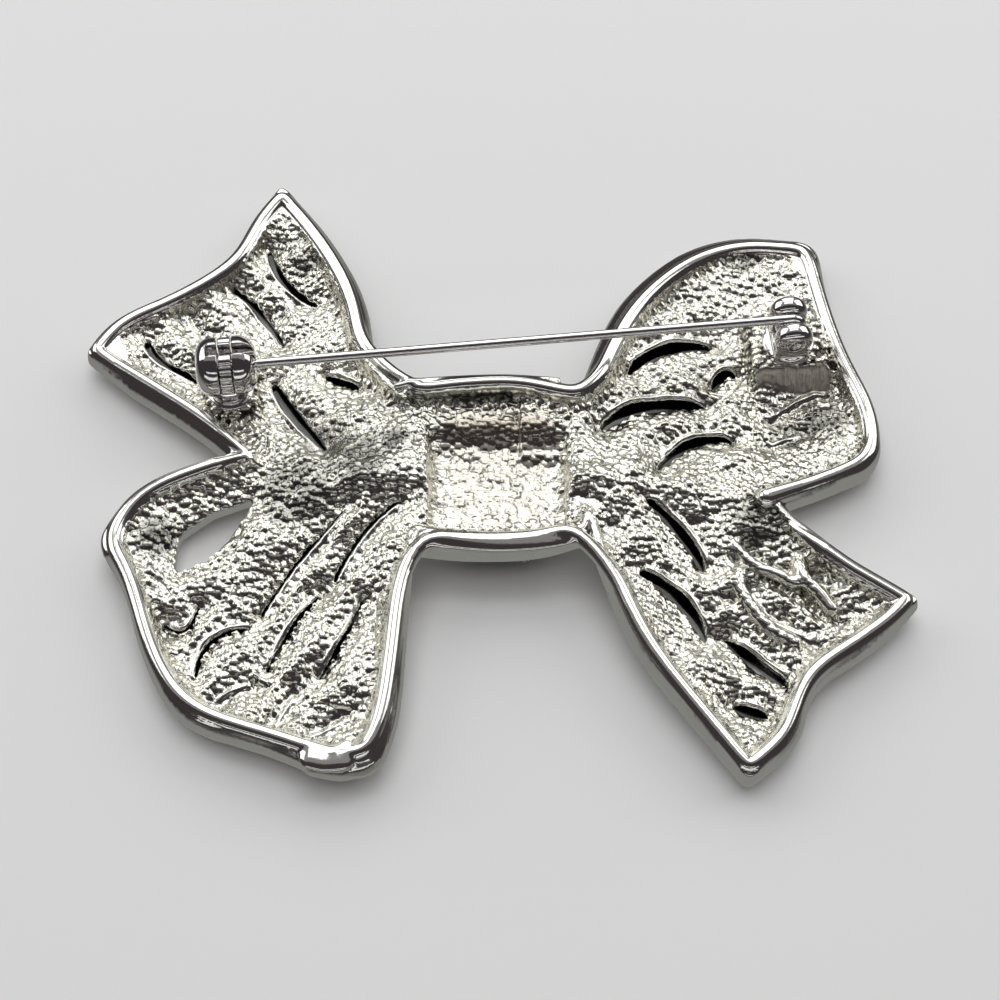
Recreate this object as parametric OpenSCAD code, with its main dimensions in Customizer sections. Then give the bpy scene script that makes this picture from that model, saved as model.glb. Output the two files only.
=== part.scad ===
// Cast metal bow brooch with a hollow back, lying on its front.
// The pin, its hinge and the turning catch are on the back, facing up.
// Lengths are in millimetres and angles in degrees.

/* [Bow] */
// Length of a ribbon arm, from the middle of the knot to its end
arm_l = 32; // [30:0.5:34]
// Width of a ribbon arm at its widest
arm_w = 22; // [21:0.5:24]
// Height of the rim at the knot above the face that the brooch lies on
knot_h = 5; // [4.8:0.1:5.4]
// Height of the rim at the ends of the arms
end_h = 3; // [2.8:0.1:3.4]
// Thickness of the cast metal at the bottom of the hollow back
floor_t = 1.2; // [1.0:0.1:1.4]
// Width of the rounded rim
rim_w = 1.2; // [1.0:0.1:1.4]
// How far the puffed sides stand out past the rim
puff = 1.2; // [0.8:0.1:1.4]
// Width of the slots between the pleats
slot_w = 0.8; // [0.6:0.1:1.0]
// Depth of the valley that runs along each slot or groove
pleat_d = 0.45; // [0.2:0.05:0.5]

/* [Knot] */
// Width of the knot, left to right
knot_w = 14; // [13:0.5:15]
// Length of the knot, top to bottom
knot_l = 14.4; // [14:0.2:15]
// Thickness of the metal between the stone and the hollow of the knot
web_t = 0.6; // [0.5:0.1:0.8]

/* [Stone] */
// Width of the step-cut stone
stone_w = 8; // [7.5:0.1:8.5]
// Length of the step-cut stone
stone_l = 12; // [11:0.1:12.4]
// Height of the stone from its table to its flat back
stone_h = 1.55; // [1.4:0.05:1.6]
// Gap between the stone and its seat
stone_gap = 0.06; // [0.04:0.01:0.1]

/* [Pin] */
// Diameter of the pin wire
wire_d = 0.72; // [0.6:0.02:0.8]
// Height of the wire above the face that the brooch lies on
wire_h = 6.4; // [6.3:0.1:6.8]
// Length of the sharpened end of the pin
tip_l = 4; // [3.5:0.1:5]
// Diameter of the hinge rivet
rivet_d = 0.9; // [0.8:0.02:1.0]
// Thickness of the flattened eye that the wire ends in
eye_t = 0.8; // [0.8:0.02:0.9]
// Length of the neck that narrows from the eye to the wire
neck_l = 2; // [1.8:0.1:3]
// Running gap round the rivet in the pin's eye
eye_fit = 0.05; // [0.03:0.01:0.08]
// Gap round the rivet where it is pressed into the hinge lobes
rivet_fit = 0.02; // [0.01:0.01:0.04]

/* [Hinge] */
// Diameter of the two round hinge lobes
lobe_d = 2.9; // [2.8:0.05:3.2]
// Thickness of one hinge lobe
lobe_t = 1.5; // [1.3:0.05:1.7]
// Gap between the pin's eye and each lobe
lobe_fit = 0.12; // [0.08:0.01:0.2]

/* [Catch] */
// Diameter of the two-lobed catch ball
ball_d = 4.6; // [4.4:0.05:4.8]
// Width of the ribbed roller in the middle of the ball
roller_w = 0.95; // [0.85:0.05:1.1]
// Running gap beside and under the roller
roller_fit = 0.08; // [0.05:0.01:0.12]
// Thickness of the hub round the wire that the roller turns on
hub_t = 0.5; // [0.45:0.05:0.6]
// Gap between the wire and the sides of the catch's mouth
mouth_fit = 0.1; // [0.06:0.01:0.14]
// Number of ribs on the roller
rib_count = 9; // [7:1:11]
// Width of one rib
rib_w = 0.26; // [0.2:0.02:0.3]
// Rounding at the two ends of the catch ball
ball_edge = 0.9; // [0.7:0.1:1.1]
// Diameter of the stem under the catch ball
stem_d = 2.8; // [2.4:0.1:3]

/* [Pads] */
// Width of the raised pad under the hinge
hinge_pad_w = 5.9; // [5.6:0.1:6.4]
// Height of the top of the hinge pad
hinge_pad_h = 3.2; // [3:0.1:3.4]
// Length of the top of the hinge pad, along the rivet
hinge_pad_l = 4.2; // [4:0.1:4.6]
// How far the foot of the hinge pad slopes out
hinge_pad_slope = 1.6; // [1.2:0.1:1.8]
// Width of the raised pad under the catch
catch_pad_w = 3.8; // [3.6:0.1:4.4]
// Length of the top of the catch pad
catch_pad_l = 3.6; // [3.4:0.1:4]
// How far the foot of the catch pad slopes out
catch_pad_slope = 1.1; // [0.8:0.1:1.3]
// Height of the top of the catch pad
catch_pad_h = 2.9; // [2.7:0.1:3.1]

/* [Hidden] */
silver = [0.80, 0.79, 0.77];
bright = [0.72, 0.71, 0.70];
glass = [0.86, 0.93, 0.97];
round_fn = 48;
fine_fn = 32;
slot_fn = 8;

// Directions of the four ribbon arms from the knot: tail, loop, loop, tail
arm_turn = [141, 213, 29, -36];
tail_a = 0;
loop_a = 1;
loop_b = 2;
tail_b = 3;

// Outlines of the arms, seen from the back. Each row is a corner of the outline:
// share of arm_l along the arm, share of arm_w across it, rounding from 0 for sharp
// to 1 for one smooth curve, and share of puff that the side stands out there.
tail_a_rim = [
    [0.12, -0.05, 0.3, 0.3],
    [0.33, -0.04, 0.6, 0.5],
    [0.46, -0.09, 0.9, 0.8],
    [0.60, -0.29, 1.0, 0.8],
    [0.80, -0.43, 1.0, 0.8],
    [1.01, -0.52, 0.3, 0.3],
    [0.99, -0.31, 0.9, 0.1],
    [0.94, -0.14, 1.0, 0.1],
    [0.98,  0.10, 1.0, 0.1],
    [1.05,  0.32, 1.0, 0.1],
    [1.03,  0.50, 0.3, 0.1],
    [0.88,  0.49, 0.8, 0.4],
    [0.66,  0.48, 0.8, 0.4],
    [0.50,  0.50, 0.5, 0.4],
    [0.34,  0.58, 0.4, 0.3],
    [0.12,  0.30, 0.3, 0.3]];
loop_a_rim = [
    [0.12, -0.30, 0.3, 0.3],
    [0.30, -0.60, 0.4, 0.3],
    [0.44, -0.57, 0.5, 0.1],
    [0.71, -0.68, 0.9, 0.1],
    [0.87, -0.56, 0.9, 0.1],
    [0.87, -0.36, 0.8, 0.1],
    [0.93, -0.06, 1.0, 0.1],
    [0.93,  0.19, 1.0, 0.3],
    [0.80,  0.42, 1.0, 0.3],
    [0.71,  0.60, 0.7, 0.6],
    [0.63,  0.66, 0.8, 0.6],
    [0.54,  0.57, 1.0, 0.5],
    [0.41,  0.33, 1.0, 0.3],
    [0.28,  0.08, 0.6, 0.2],
    [0.12, -0.05, 0.3, 0.3]];
loop_b_rim = [
    [0.12, -0.12, 0.3, 0.3],
    [0.34, -0.60, 0.4, 0.3],
    [0.48, -0.53, 0.5, 0.3],
    [0.66, -0.56, 0.9, 0.2],
    [0.82, -0.57, 0.9, 0.1],
    [0.90, -0.37, 1.0, 0.1],
    [0.92, -0.13, 1.0, 0.1],
    [0.97,  0.10, 1.0, 0.1],
    [1.04,  0.36, 0.5, 0.5],
    [0.89,  0.50, 0.9, 1.2],
    [0.73,  0.53, 1.0, 1.4],
    [0.52,  0.43, 1.0, 1.2],
    [0.36,  0.24, 0.8, 0.9],
    [0.28,  0.13, 0.5, 0.5],
    [0.12,  0.02, 0.3, 0.3]];
tail_b_rim = [
    [0.12,  0.05, 0.3, 0.3],
    [0.23,  0.04, 0.5, 0.4],
    [0.36, -0.12, 0.9, 0.2],
    [0.52, -0.27, 1.0, 0.2],
    [0.72, -0.36, 1.0, 0.2],
    [0.89, -0.44, 0.3, 0.1],
    [0.92, -0.23, 0.8, 0.3],
    [0.87, -0.02, 1.0, 0.3],
    [0.92,  0.18, 1.0, 0.3],
    [0.95,  0.33, 1.0, 0.2],
    [0.96,  0.46, 0.3, 0.1],
    [0.79,  0.44, 0.6, 0.3],
    [0.59,  0.46, 0.5, 0.5],
    [0.36,  0.60, 0.4, 0.3],
    [0.12,  0.25, 0.3, 0.3]];
arm_rims = [tail_a_rim, loop_a_rim, loop_b_rim, tail_b_rim];

// Outline of the knot, with shares of knot_w and knot_l instead
knot_rim = [
    [-0.50, -0.42, 0.4, 0.3],
    [-0.20, -0.47, 0.9, 0.3],
    [ 0.20, -0.46, 0.9, 0.3],
    [ 0.47, -0.36, 0.5, 0.3],
    [ 0.50,  0.10, 0.6, 0.3],
    [ 0.52,  0.58, 0.4, 0.3],
    [ 0.38,  0.54, 0.8, 0.4],
    [ 0.10,  0.62, 0.9, 0.4],
    [-0.30,  0.59, 0.9, 0.4],
    [-0.55,  0.55, 0.4, 0.3],
    [-0.50,  0.05, 0.6, 0.3]];

// Slots and grooves between the pleats. Each row is the arm, then the start, middle
// and end as a share of arm_l from the knot and an angle off the arm's middle line,
// and last the share of slot_w, where 0 is a groove that isn't cut through.
pleats = [
    [tail_a, 0.93, -12, 0.82, -10, 0.72, -11.5, 0.8],
    [tail_a, 0.90, -3, 0.80, -2.5, 0.69, 0, 0.7],
    [tail_a, 0.94, 5, 0.89, 7, 0.85, 8, 0],
    [tail_a, 0.97, 12.5, 0.92, 14.5, 0.81, 15.5, 0.8],
    [tail_a, 0.63, 10, 0.54, 16, 0.43, 25, 1.1],
    [tail_a, 0.54, 1, 0.49, 0, 0.45, -1, 0.6],
    [loop_a, 0.37, -22, 0.50, -10.5, 0.64, -2, 0.5],
    [loop_a, 0.24, -19, 0.34, -11, 0.46, 0.5, 0.6],
    [loop_a, 0.50, 1, 0.60, 5, 0.71, 9, 0.6],
    [loop_a, 0.44, 11, 0.53, 15.5, 0.64, 17.5, 0.6],
    [loop_a, 0.68, 0, 0.77, -1.5, 0.85, 3, 0.6],
    [loop_a, 0.76, -9, 0.81, -5.5, 0.85, -8.5, 0.5],
    [loop_a, 0.76, 10, 0.81, 8.5, 0.86, 8.5, 0],
    [loop_a, 0.71, 16, 0.77, 17, 0.81, 17.5, 0],
    [loop_a, 0.69, 27, 0.74, 25, 0.78, 23, 0],
    [loop_b, 0.46, 17.5, 0.57, 16, 0.67, 10, 1.1],
    [loop_b, 0.29, 4, 0.42, 4, 0.55, -3, 1.0],
    [loop_b, 0.38, -22, 0.48, -13.5, 0.57, -15, 0.8],
    [loop_b, 0.60, 1, 0.64, 2.5, 0.67, 1.5, 0.7],
    [loop_b, 0.68, -12, 0.78, -9.5, 0.84, -10, 0],
    [loop_b, 0.66, -18.5, 0.70, -17.5, 0.75, -16.5, 0],
    [tail_b, 0.35, 28, 0.45, 18, 0.52, 11, 0.8],
    [tail_b, 0.40, 0.5, 0.51, 0, 0.61, -4, 1.0],
    [tail_b, 0.65, -1.5, 0.75, -2.2, 0.82, -2.2, 0.9],
    [tail_b, 0.77, -11, 0.81, -10, 0.84, -8.5, 0.8],
    [tail_b, 0.65, 9, 0.71, 6.5, 0.84, 6.5, 0],
    [tail_b, 0.77, 15.5, 0.81, 13, 0.86, 11.5, 0],
    [tail_b, 0.60, 18, 0.68, 16, 0.74, 15.5, 0]];

// Rounds that the large drop-shaped opening of the lower loop is stretched over:
// share of arm_l along the arm, share of arm_w across it, radius as a share of arm_w
drop_rounds = [
    [0.73, -0.34, 0.025],
    [0.675, -0.375, 0.07],
    [0.605, -0.395, 0.055],
    [0.52, -0.415, 0.01]];

// Height of the front above the resting face: share of arm_l from the knot, share of
// knot_h
front_rise = [[0, 0.42], [0.25, 0.34], [0.5, 0.1], [0.75, 0], [0.9, 0.05], [1.15, 0.22]];
// Extra height of the front at the sides of an arm, and the angle where it is reached
side_rise = 0.7;
side_angle = 32;

// Side of an arm from its foot up to the rim: inset from the outline as a share of
// rim_w, share of the puff, and depth under the rim as a share of end_h
side_rows = [
    [1.60, 0.0, 1.20],
    [0.90, 0.3, 0.95],
    [0.00, 0.8, 0.74],
    [0.00, 1.0, 0.50],
    [0.00, 0.4, 0.20],
    [0.12, 0.0, 0.05],
    [0.45, 0.0, 0.00]];
// Side of the knot, in the same columns, down to the flat round the stone
knot_rows = [
    [1.70, 0.0, 1.36],
    [1.10, 0.0, 1.20],
    [0.40, 0.6, 0.95],
    [0.00, 1.0, 0.50],
    [0.12, 0.0, 0.05],
    [0.45, 0.0, 0.00]];
// Inside of the rim: inset as a share of rim_w and depth as a share of end_h
hollow_rows = [[1.90, 1.00], [1.35, 0.60], [1.00, 0.17], [0.78, 0.03]];

// Steps of the stone from its table up to its back: how far in from the girdle as a
// share of stone_w, and height as a share of stone_h
stone_steps = [[0.16, 0], [0.08, 0.22], [0, 0.5], [0, 0.6], [0.07, 0.85], [0.14, 1]];
girdle_top = 3;
stone_back = 5;
// Cut corner of the stone as a share of stone_w
corner_cut = 0.22;

// Shape of the polar grid that the front and the bottom of the hollow are made on
grid_turn = 4;
grid_rings = 18;
grid_r = 1.15 * arm_l;
below = -6;
over = 2;
slice = 0.1;
hub_share = 0.6;
corner_steps = 3;
mitre_max = 1.5;
knot_r = knot_w / 2;
// How much further the knot's hollow reaches up than down from the knot's middle
hollow_more = 0.8;

function clamp(v) = min(1, max(0, v));
function mix(a, b, t) = a + (b - a) * t;
function turned(v, a) = [v[0] * cos(a) - v[1] * sin(a), v[0] * sin(a) + v[1] * cos(a)];
function unit(v) = v / norm(v);
function polar(arm, share, angle) = turned([share * arm_l, 0], arm_turn[arm] + angle);
function on_arm(arm, along, across) = turned([along * arm_l, across * arm_w], arm_turn[arm]);

// Height of the rim above the resting face at a place in plan
function rim_z(p) = mix(knot_h, end_h, clamp((norm(p) - knot_r) / (arm_l - knot_r)));

// Corners of the outlines in plan, with the rounding and puff of each
arm_corners = [for (arm = [0:3]) [for (row = arm_rims[arm]) on_arm(arm, row[0], row[1])]];
knot_corners = [for (row = knot_rim) [row[0] * knot_w, row[1] * knot_l]];

// Direction in which a corner moves when its two sides move out by 1
function mitre(corners, i) =
    let (count = len(corners),
         before = unit(corners[i] - corners[(i + count - 1) % count]),
         after = unit(corners[(i + 1) % count] - corners[i]),
         out_a = [before[1], -before[0]],
         out_b = [after[1], -after[0]])
    (out_a + out_b) / (1 + out_a * out_b);

function limited(v, longest) = v * min(1, longest / norm(v));

// Corners moved in by an inset and out by each corner's own share of the puff
function moved(corners, rows, inset, swell) =
    [for (i = [0:len(corners) - 1])
        let (m = mitre(corners, i))
        corners[i] - inset * m + swell * puff * rows[i][3] * limited(m, mitre_max)];

// The rounded outline as points, the same number at every inset
function rounded(corners, rows) =
    [for (i = [0:len(corners) - 1])
        let (count = len(corners),
             start = mix(corners[i], corners[(i + count - 1) % count], rows[i][2] / 2),
             stop = mix(corners[i], corners[(i + 1) % count], rows[i][2] / 2))
        for (step = [0:corner_steps - 1])
            let (t = (step + 0.5) / corner_steps)
            mix(mix(start, corners[i], t), mix(corners[i], stop, t), t)];

function ring(corners, rows, inset, swell, drop) =
    let (plan = rounded(moved(corners, rows, inset, swell), rows))
    [for (p = plan) [p[0], p[1], rim_z(p) - drop]];

// Distance from a place to a stretch of a pleat
function to_line(p, a, b) =
    norm(p - mix(a, b, clamp((p - a) * (b - a) / ((b - a) * (b - a)))));

function pleat_points(row) =
    [polar(row[0], row[1], row[2]), polar(row[0], row[3], row[4]), polar(row[0], row[5], row[6])];

pleat_lines = [for (row = pleats) pleat_points(row)];
pleat_reach = arm_w / 20;

// Share of the full valley depth at a place, from the nearest pleat line
function valley(p) =
    let (near = min([for (line = pleat_lines)
        min(to_line(p, line[0], line[1]), to_line(p, line[1], line[2]))]))
    exp(-(near / pleat_reach) * (near / pleat_reach));

// Angle between a direction and the nearest arm's middle line
function off_arm(angle) = min([for (turn = arm_turn) abs((angle - turn + 540) % 360 - 180)]);

function front_z(p) =
    let (angle = atan2(p[1], p[0]))
    knot_h * lookup(norm(p) / arm_l, front_rise)
    + side_rise * pow(clamp(off_arm(angle) / side_angle), 2);

function front_surface(p) = front_z(p) + pleat_d * valley(p);
function floor_surface(p) = front_z(p) + floor_t - pleat_d * valley(p);

// Middle of the outline's box, which the model's origin stands under
reach = [for (arm = [0:3]) each rounded(moved(arm_corners[arm], arm_rims[arm], 0, 1), arm_rims[arm])];
reach_x = [for (p = reach) p[0]];
reach_y = [for (p = reach) p[1]];
middle = [(min(reach_x) + max(reach_x)) / 2, (min(reach_y) + max(reach_y)) / 2];

// Places of the catch ball and the hinge rivet, as shares of arm_l from the knot
catch_at = [-0.65, 0.256] * arm_l;
hinge_at = [0.703, 0.395] * arm_l;
pin_turn = atan2(catch_at[1] - hinge_at[1], catch_at[0] - hinge_at[0]);
pin_span = norm(catch_at - hinge_at);
wire_r = wire_d / 2;
rivet_r = rivet_d / 2;
eye_r = rivet_r + eye_fit + wire_r;
rivet_h = wire_h - eye_r;
ball_r = ball_d / 2;
roller_half = roller_w / 2;
hub_r = wire_r + mouth_fit + hub_t;
mouth_r = wire_r + mouth_fit;
roller_bore = hub_r + roller_fit;
track_over = 0.1;
track_r = ball_r + track_over;
rib_h = 0.12;
rib_in = 0.1;
roller_r = ball_r - rib_in - rib_h;
lobe_r = lobe_d / 2;
lobe_edge = 0.6;
lobe_in = eye_t / 2 + lobe_fit;
tip_past = 1.1;
tip_r = 0.08;
tip_room = 0.3;
eye_room = 0.3;
plate_t = 0.5;
foot_t = 0.4;
foot_lip = 0.2;
saddle_in = 0.15;
saddle_end = 0.25;
hub_root = 0.2;
first_rib = -215;
rib_step = 20;
stem_flare = 0.85;
knot_mid = [-0.2, 0.2];
web_z = stone_h + stone_gap;

// Closed skin through rings of points, from the lowest ring to the highest
module skin(rings, low, high) {
    count = len(rings[0]);
    last = (len(rings) - 1) * count;
    low_i = len(rings) * count;
    high_i = low_i + 1;
    walls = [for (r = [0:len(rings) - 2], i = [0:count - 1])
        let (a = r * count + i,
             b = r * count + (i + 1) % count,
             c = b + count,
             d = a + count)
        each [[a, d, c], [a, c, b]]];
    under = [for (i = [0:count - 1]) [low_i, i, (i + 1) % count]];
    top = [for (i = [0:count - 1]) [high_i, last + (i + 1) % count, last + i]];
    polyhedron(points = concat([for (r = rings) each r], [low, high]),
               faces = concat(walls, under, top));
}

function at_z(p, z) = [p[0], p[1], z];
function flat_ring(points, z) = [for (p = points) at_z(p, z)];

// Everything under a surface over the polar grid, down to a flat bottom
module under_surface(surface_is_floor) {
    turns = 360 / grid_turn;
    rings = [for (k = [grid_rings:-1:1]) [for (i = [0:turns - 1])
        let (p = turned([k * grid_r / grid_rings, 0], i * grid_turn))
        at_z(p, surface_is_floor ? floor_surface(p) : front_surface(p))]];
    foot = flat_ring(rings[0], below);
    front_mid = knot_h * front_rise[0][1];
    centre_z = surface_is_floor ? front_mid + floor_t : front_mid;
    skin(concat([foot], rings), [0, 0, below], [0, 0, centre_z]);
}

module solid_side(corners, rows, hub) {
    rings = [for (row = side_rows)
        ring(corners, rows, row[0] * rim_w, row[1], row[2] * end_h)];
    foot = flat_ring(rings[0], below / 2);
    skin(concat([foot], rings), at_z(hub, below / 2), at_z(hub, rim_z(hub)));
}

module hollow_side(corners, rows, hub) {
    rings = [for (row = hollow_rows)
        ring(corners, rows, row[0] * rim_w, 0, row[1] * end_h)];
    foot = flat_ring(rings[0], below / 2);
    lid = [for (p = rings[len(rings) - 1]) p + [0, 0, over]];
    skin(concat([foot], rings, [lid]), at_z(hub, below / 2), at_z(hub, rim_z(hub) + over));
}

function arm_hub(arm) = on_arm(arm, hub_share, 0);

module arm_solids() {
    difference() {
        union() {
            for (arm = [0:3])
                solid_side(arm_corners[arm], arm_rims[arm], arm_hub(arm));
        }
        under_surface(false);
    }
}

module arm_hollows() {
    difference() {
        union() {
            for (arm = [0:3])
                hollow_side(arm_corners[arm], arm_rims[arm], arm_hub(arm));
        }
        under_surface(true);
    }
}

// Eight-sided outline of the step-cut stone
function step_ring(grow, z) =
    let (half_w = stone_w / 2 + grow,
         half_l = stone_l / 2 + grow,
         cut = stone_w * corner_cut + grow * (2 - sqrt(2)))
    [[half_w, -half_l + cut, z], [half_w, half_l - cut, z],
     [half_w - cut, half_l, z], [-half_w + cut, half_l, z],
     [-half_w, half_l - cut, z], [-half_w, -half_l + cut, z],
     [-half_w + cut, -half_l, z], [half_w - cut, -half_l, z]];

module knot_solid() {
    rings = [for (row = knot_rows)
        ring(knot_corners, knot_rim, row[0] * rim_w, row[1], row[2] * end_h)];
    skin(rings, at_z(knot_mid, rings[0][0][2]), at_z(knot_mid, knot_h));
}

module knot_hollow() {
    hollow_w = knot_w - 2 * rim_w;
    hollow_l = knot_l - 2 * rim_w + hollow_more;
    translate(at_z(knot_mid + [0, hollow_more / 2], 0))
        hull() {
            translate([0, 0, web_z + web_t])
                linear_extrude(slice)
                    square([hollow_w - rim_w, hollow_l - rim_w], center = true);
            translate([0, 0, knot_h + over])
                linear_extrude(slice)
                    square([hollow_w, hollow_l], center = true);
        }
}

module stone_seat() {
    girdle = stone_steps[girdle_top];
    back = stone_steps[stone_back];
    skin([step_ring(stone_gap, below),
          step_ring(stone_gap, girdle[1] * stone_h + stone_gap),
          step_ring(stone_gap - back[0] * stone_w, web_z)],
         [0, 0, below], [0, 0, web_z]);
}

module slots() {
    for (i = [0:len(pleats) - 1])
        if (pleats[i][7] > 0)
            for (half = [0:1])
                hull()
                    for (end = [half, half + 1])
                        translate(at_z(pleat_lines[i][end], below))
                            cylinder(h = knot_h - below, d = slot_w * pleats[i][7], $fn = slot_fn);
}

module drop_opening() {
    hull()
        for (row = drop_rounds)
            translate(at_z(on_arm(loop_a, row[0], row[1]), below))
                cylinder(h = knot_h - below, r = row[2] * arm_w, $fn = fine_fn);
}

// Block with sloping sides, standing in the hollow
module pad(place, wide, long, slope, top_h) {
    translate(at_z(place, 0))
        rotate(pin_turn + 180)
            hull() {
                translate([0, 0, floor_t - slice])
                    linear_extrude(slice)
                        square([wide + slope / 2, long + 2 * slope], center = true);
                translate([0, 0, top_h - slice])
                    linear_extrude(slice)
                        square([wide, long], center = true);
            }
}

module bow_casting() {
    color(silver)
        translate(at_z(-middle, 0)) {
            difference() {
                union() {
                    arm_solids();
                    knot_solid();
                }
                arm_hollows();
                knot_hollow();
                translate(at_z(knot_mid, 0))
                    stone_seat();
                slots();
                drop_opening();
            }
            pad(hinge_at, hinge_pad_w, hinge_pad_l, hinge_pad_slope, hinge_pad_h);
            pad(catch_at, catch_pad_w, catch_pad_l, catch_pad_slope, catch_pad_h);
        }
}

module knot_stone() {
    color(glass)
        translate(at_z(knot_mid - middle, 0))
            skin([for (row = stone_steps) step_ring(-row[0] * stone_w, row[1] * stone_h)],
                 [0, 0, 0], [0, 0, stone_h]);
}

// Places its children at the rivet, with +X pointing along the pin to the catch
module at_hinge(z) {
    translate(at_z(hinge_at - middle, z))
        rotate(pin_turn)
            children();
}

module at_catch(z) {
    translate(at_z(catch_at - middle, z))
        rotate(pin_turn)
            children();
}

module cross_rod(h, r) {
    rotate([90, 0, 0])
        cylinder(h = h, r = r, center = true, $fn = round_fn);
}

module along_rod(h, r) {
    rotate([0, 90, 0])
        cylinder(h = h, r = r, center = true, $fn = round_fn);
}

module hinge_lobe() {
    core_r = lobe_r - lobe_edge;
    cylinder(h = lobe_t, r = core_r, $fn = round_fn);
    cylinder(h = lobe_t - lobe_edge, r = lobe_r, $fn = round_fn);
    translate([0, 0, lobe_t - lobe_edge])
        rotate_extrude($fn = round_fn)
            translate([core_r, 0])
                circle(r = lobe_edge, $fn = fine_fn);
}

module hinge_base() {
    saddle_h = rivet_h - hinge_pad_h;
    saddle_w = lobe_d - 2 * saddle_in;
    saddle_l = 2 * (lobe_in + lobe_t - saddle_end);
    color(bright)
        at_hinge(0)
            difference() {
                union() {
                    translate([0, 0, rivet_h])
                        for (side = [-1, 1])
                            rotate([90 * side, 0, 0])
                                translate([0, 0, lobe_in])
                                    hinge_lobe();
                    translate([-saddle_w / 2, -saddle_l / 2, hinge_pad_h])
                        cube([saddle_w, saddle_l, saddle_h]);
                    translate([0, 0, hinge_pad_h])
                        cylinder(h = plate_t, d = hinge_pad_l - 2 * foot_lip, $fn = round_fn);
                }
                translate([-lobe_d, -lobe_in, rivet_h - eye_r - wire_r - eye_room])
                    cube([2 * lobe_d, 2 * lobe_in, 2 * lobe_d]);
                translate([0, 0, rivet_h])
                    cross_rod(3 * lobe_d, rivet_r + rivet_fit);
            }
}

module hinge_rivet() {
    color(bright)
        at_hinge(rivet_h)
            cross_rod(2 * (lobe_in + lobe_t), rivet_r);
}

module pin_stem() {
    straight = pin_span + tip_past - tip_l - neck_l;
    color(bright)
        at_hinge(rivet_h)
            difference() {
                union() {
                    cross_rod(eye_t, eye_r + wire_r);
                    translate([0, 0, eye_r])
                        rotate([0, 90, 0]) {
                            cylinder(h = neck_l, r1 = eye_t / 2, r2 = wire_r, $fn = fine_fn);
                            translate([0, 0, neck_l])
                                cylinder(h = straight, r = wire_r, $fn = fine_fn);
                            translate([0, 0, neck_l + straight])
                                cylinder(h = tip_l, r1 = wire_r, r2 = tip_r, $fn = fine_fn);
                        }
                }
                cross_rod(2 * lobe_d, rivet_r + eye_fit);
            }
}

// Round barrel that the two lobes of the catch are cut from
module catch_ball() {
    core_r = ball_r - ball_edge;
    along_rod(ball_d, core_r);
    along_rod(ball_d - 2 * ball_edge, ball_r);
    for (side = [-1, 1])
        translate([side * core_r, 0, 0])
            rotate([0, 90, 0])
                rotate_extrude($fn = round_fn)
                    translate([core_r, 0])
                        circle(r = ball_edge, $fn = fine_fn);
}

module catch_base() {
    track_w = roller_w + 2 * roller_fit;
    color(bright)
        at_catch(0)
            difference() {
                union() {
                    difference() {
                        union() {
                            translate([0, 0, wire_h])
                                catch_ball();
                            translate([0, 0, catch_pad_h])
                                cylinder(h = wire_h - catch_pad_h, d1 = stem_d,
                                         d2 = ball_d * stem_flare, $fn = round_fn);
                            translate([0, 0, catch_pad_h])
                                cylinder(h = foot_t, d = catch_pad_l - 2 * foot_lip, $fn = round_fn);
                        }
                        translate([0, 0, wire_h])
                            along_rod(track_w, track_r);
                    }
                    translate([0, 0, wire_h])
                        along_rod(track_w + 2 * hub_root, hub_r);
                }
                mouth_end = tip_past + tip_room;
                translate([mouth_end - 2 * ball_d, 0, wire_h]) {
                    rotate([0, 90, 0])
                        cylinder(h = 2 * ball_d, r = mouth_r, $fn = fine_fn);
                    translate([0, -mouth_r, 0])
                        cube([2 * ball_d, 2 * mouth_r, ball_d]);
                }
            }
}

module catch_roller() {
    color(bright)
        at_catch(wire_h)
            difference() {
                union() {
                    along_rod(roller_w, roller_r);
                    for (i = [0:rib_count - 1])
                        rotate([first_rib + i * rib_step, 0, 0])
                            translate([-roller_half, -rib_w / 2, 0])
                                cube([roller_w, rib_w, roller_r + rib_h]);
                }
                along_rod(2 * roller_w, roller_bore);
                translate([-roller_w, -mouth_r, 0])
                    cube([2 * roller_w, 2 * mouth_r, ball_d]);
            }
}

bow_casting();
knot_stone();
hinge_base();
hinge_rivet();
pin_stem();
catch_base();
catch_roller();
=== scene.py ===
"""Looks of the cast bow brooch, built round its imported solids.

The casting, the hinge, the catch and the roller are solid shapes written as distance
fields: a number for every point of a grid, negative inside the metal. Polygons are laid
on the surface where the field is zero, and the field's slope gives their normals.
Lengths in the fields are millimetres from the middle of the knot, or from the foot of a
finding. The meshes are in metres, in the frame of the solids.
"""

import math

import bpy
import numpy as np
import openvdb
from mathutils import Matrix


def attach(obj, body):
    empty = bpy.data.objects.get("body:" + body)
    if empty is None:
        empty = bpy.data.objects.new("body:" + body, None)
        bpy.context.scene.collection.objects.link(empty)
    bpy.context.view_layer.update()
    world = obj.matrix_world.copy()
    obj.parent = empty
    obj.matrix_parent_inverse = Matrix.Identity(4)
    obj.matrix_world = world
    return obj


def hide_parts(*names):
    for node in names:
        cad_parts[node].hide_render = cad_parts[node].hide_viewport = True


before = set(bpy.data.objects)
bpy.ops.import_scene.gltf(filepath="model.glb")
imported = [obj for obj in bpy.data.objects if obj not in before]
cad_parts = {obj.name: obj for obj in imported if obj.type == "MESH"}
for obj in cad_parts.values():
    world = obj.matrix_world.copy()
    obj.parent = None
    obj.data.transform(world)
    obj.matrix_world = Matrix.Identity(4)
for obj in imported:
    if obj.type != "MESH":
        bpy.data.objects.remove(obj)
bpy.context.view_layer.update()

MM = 0.001

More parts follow.
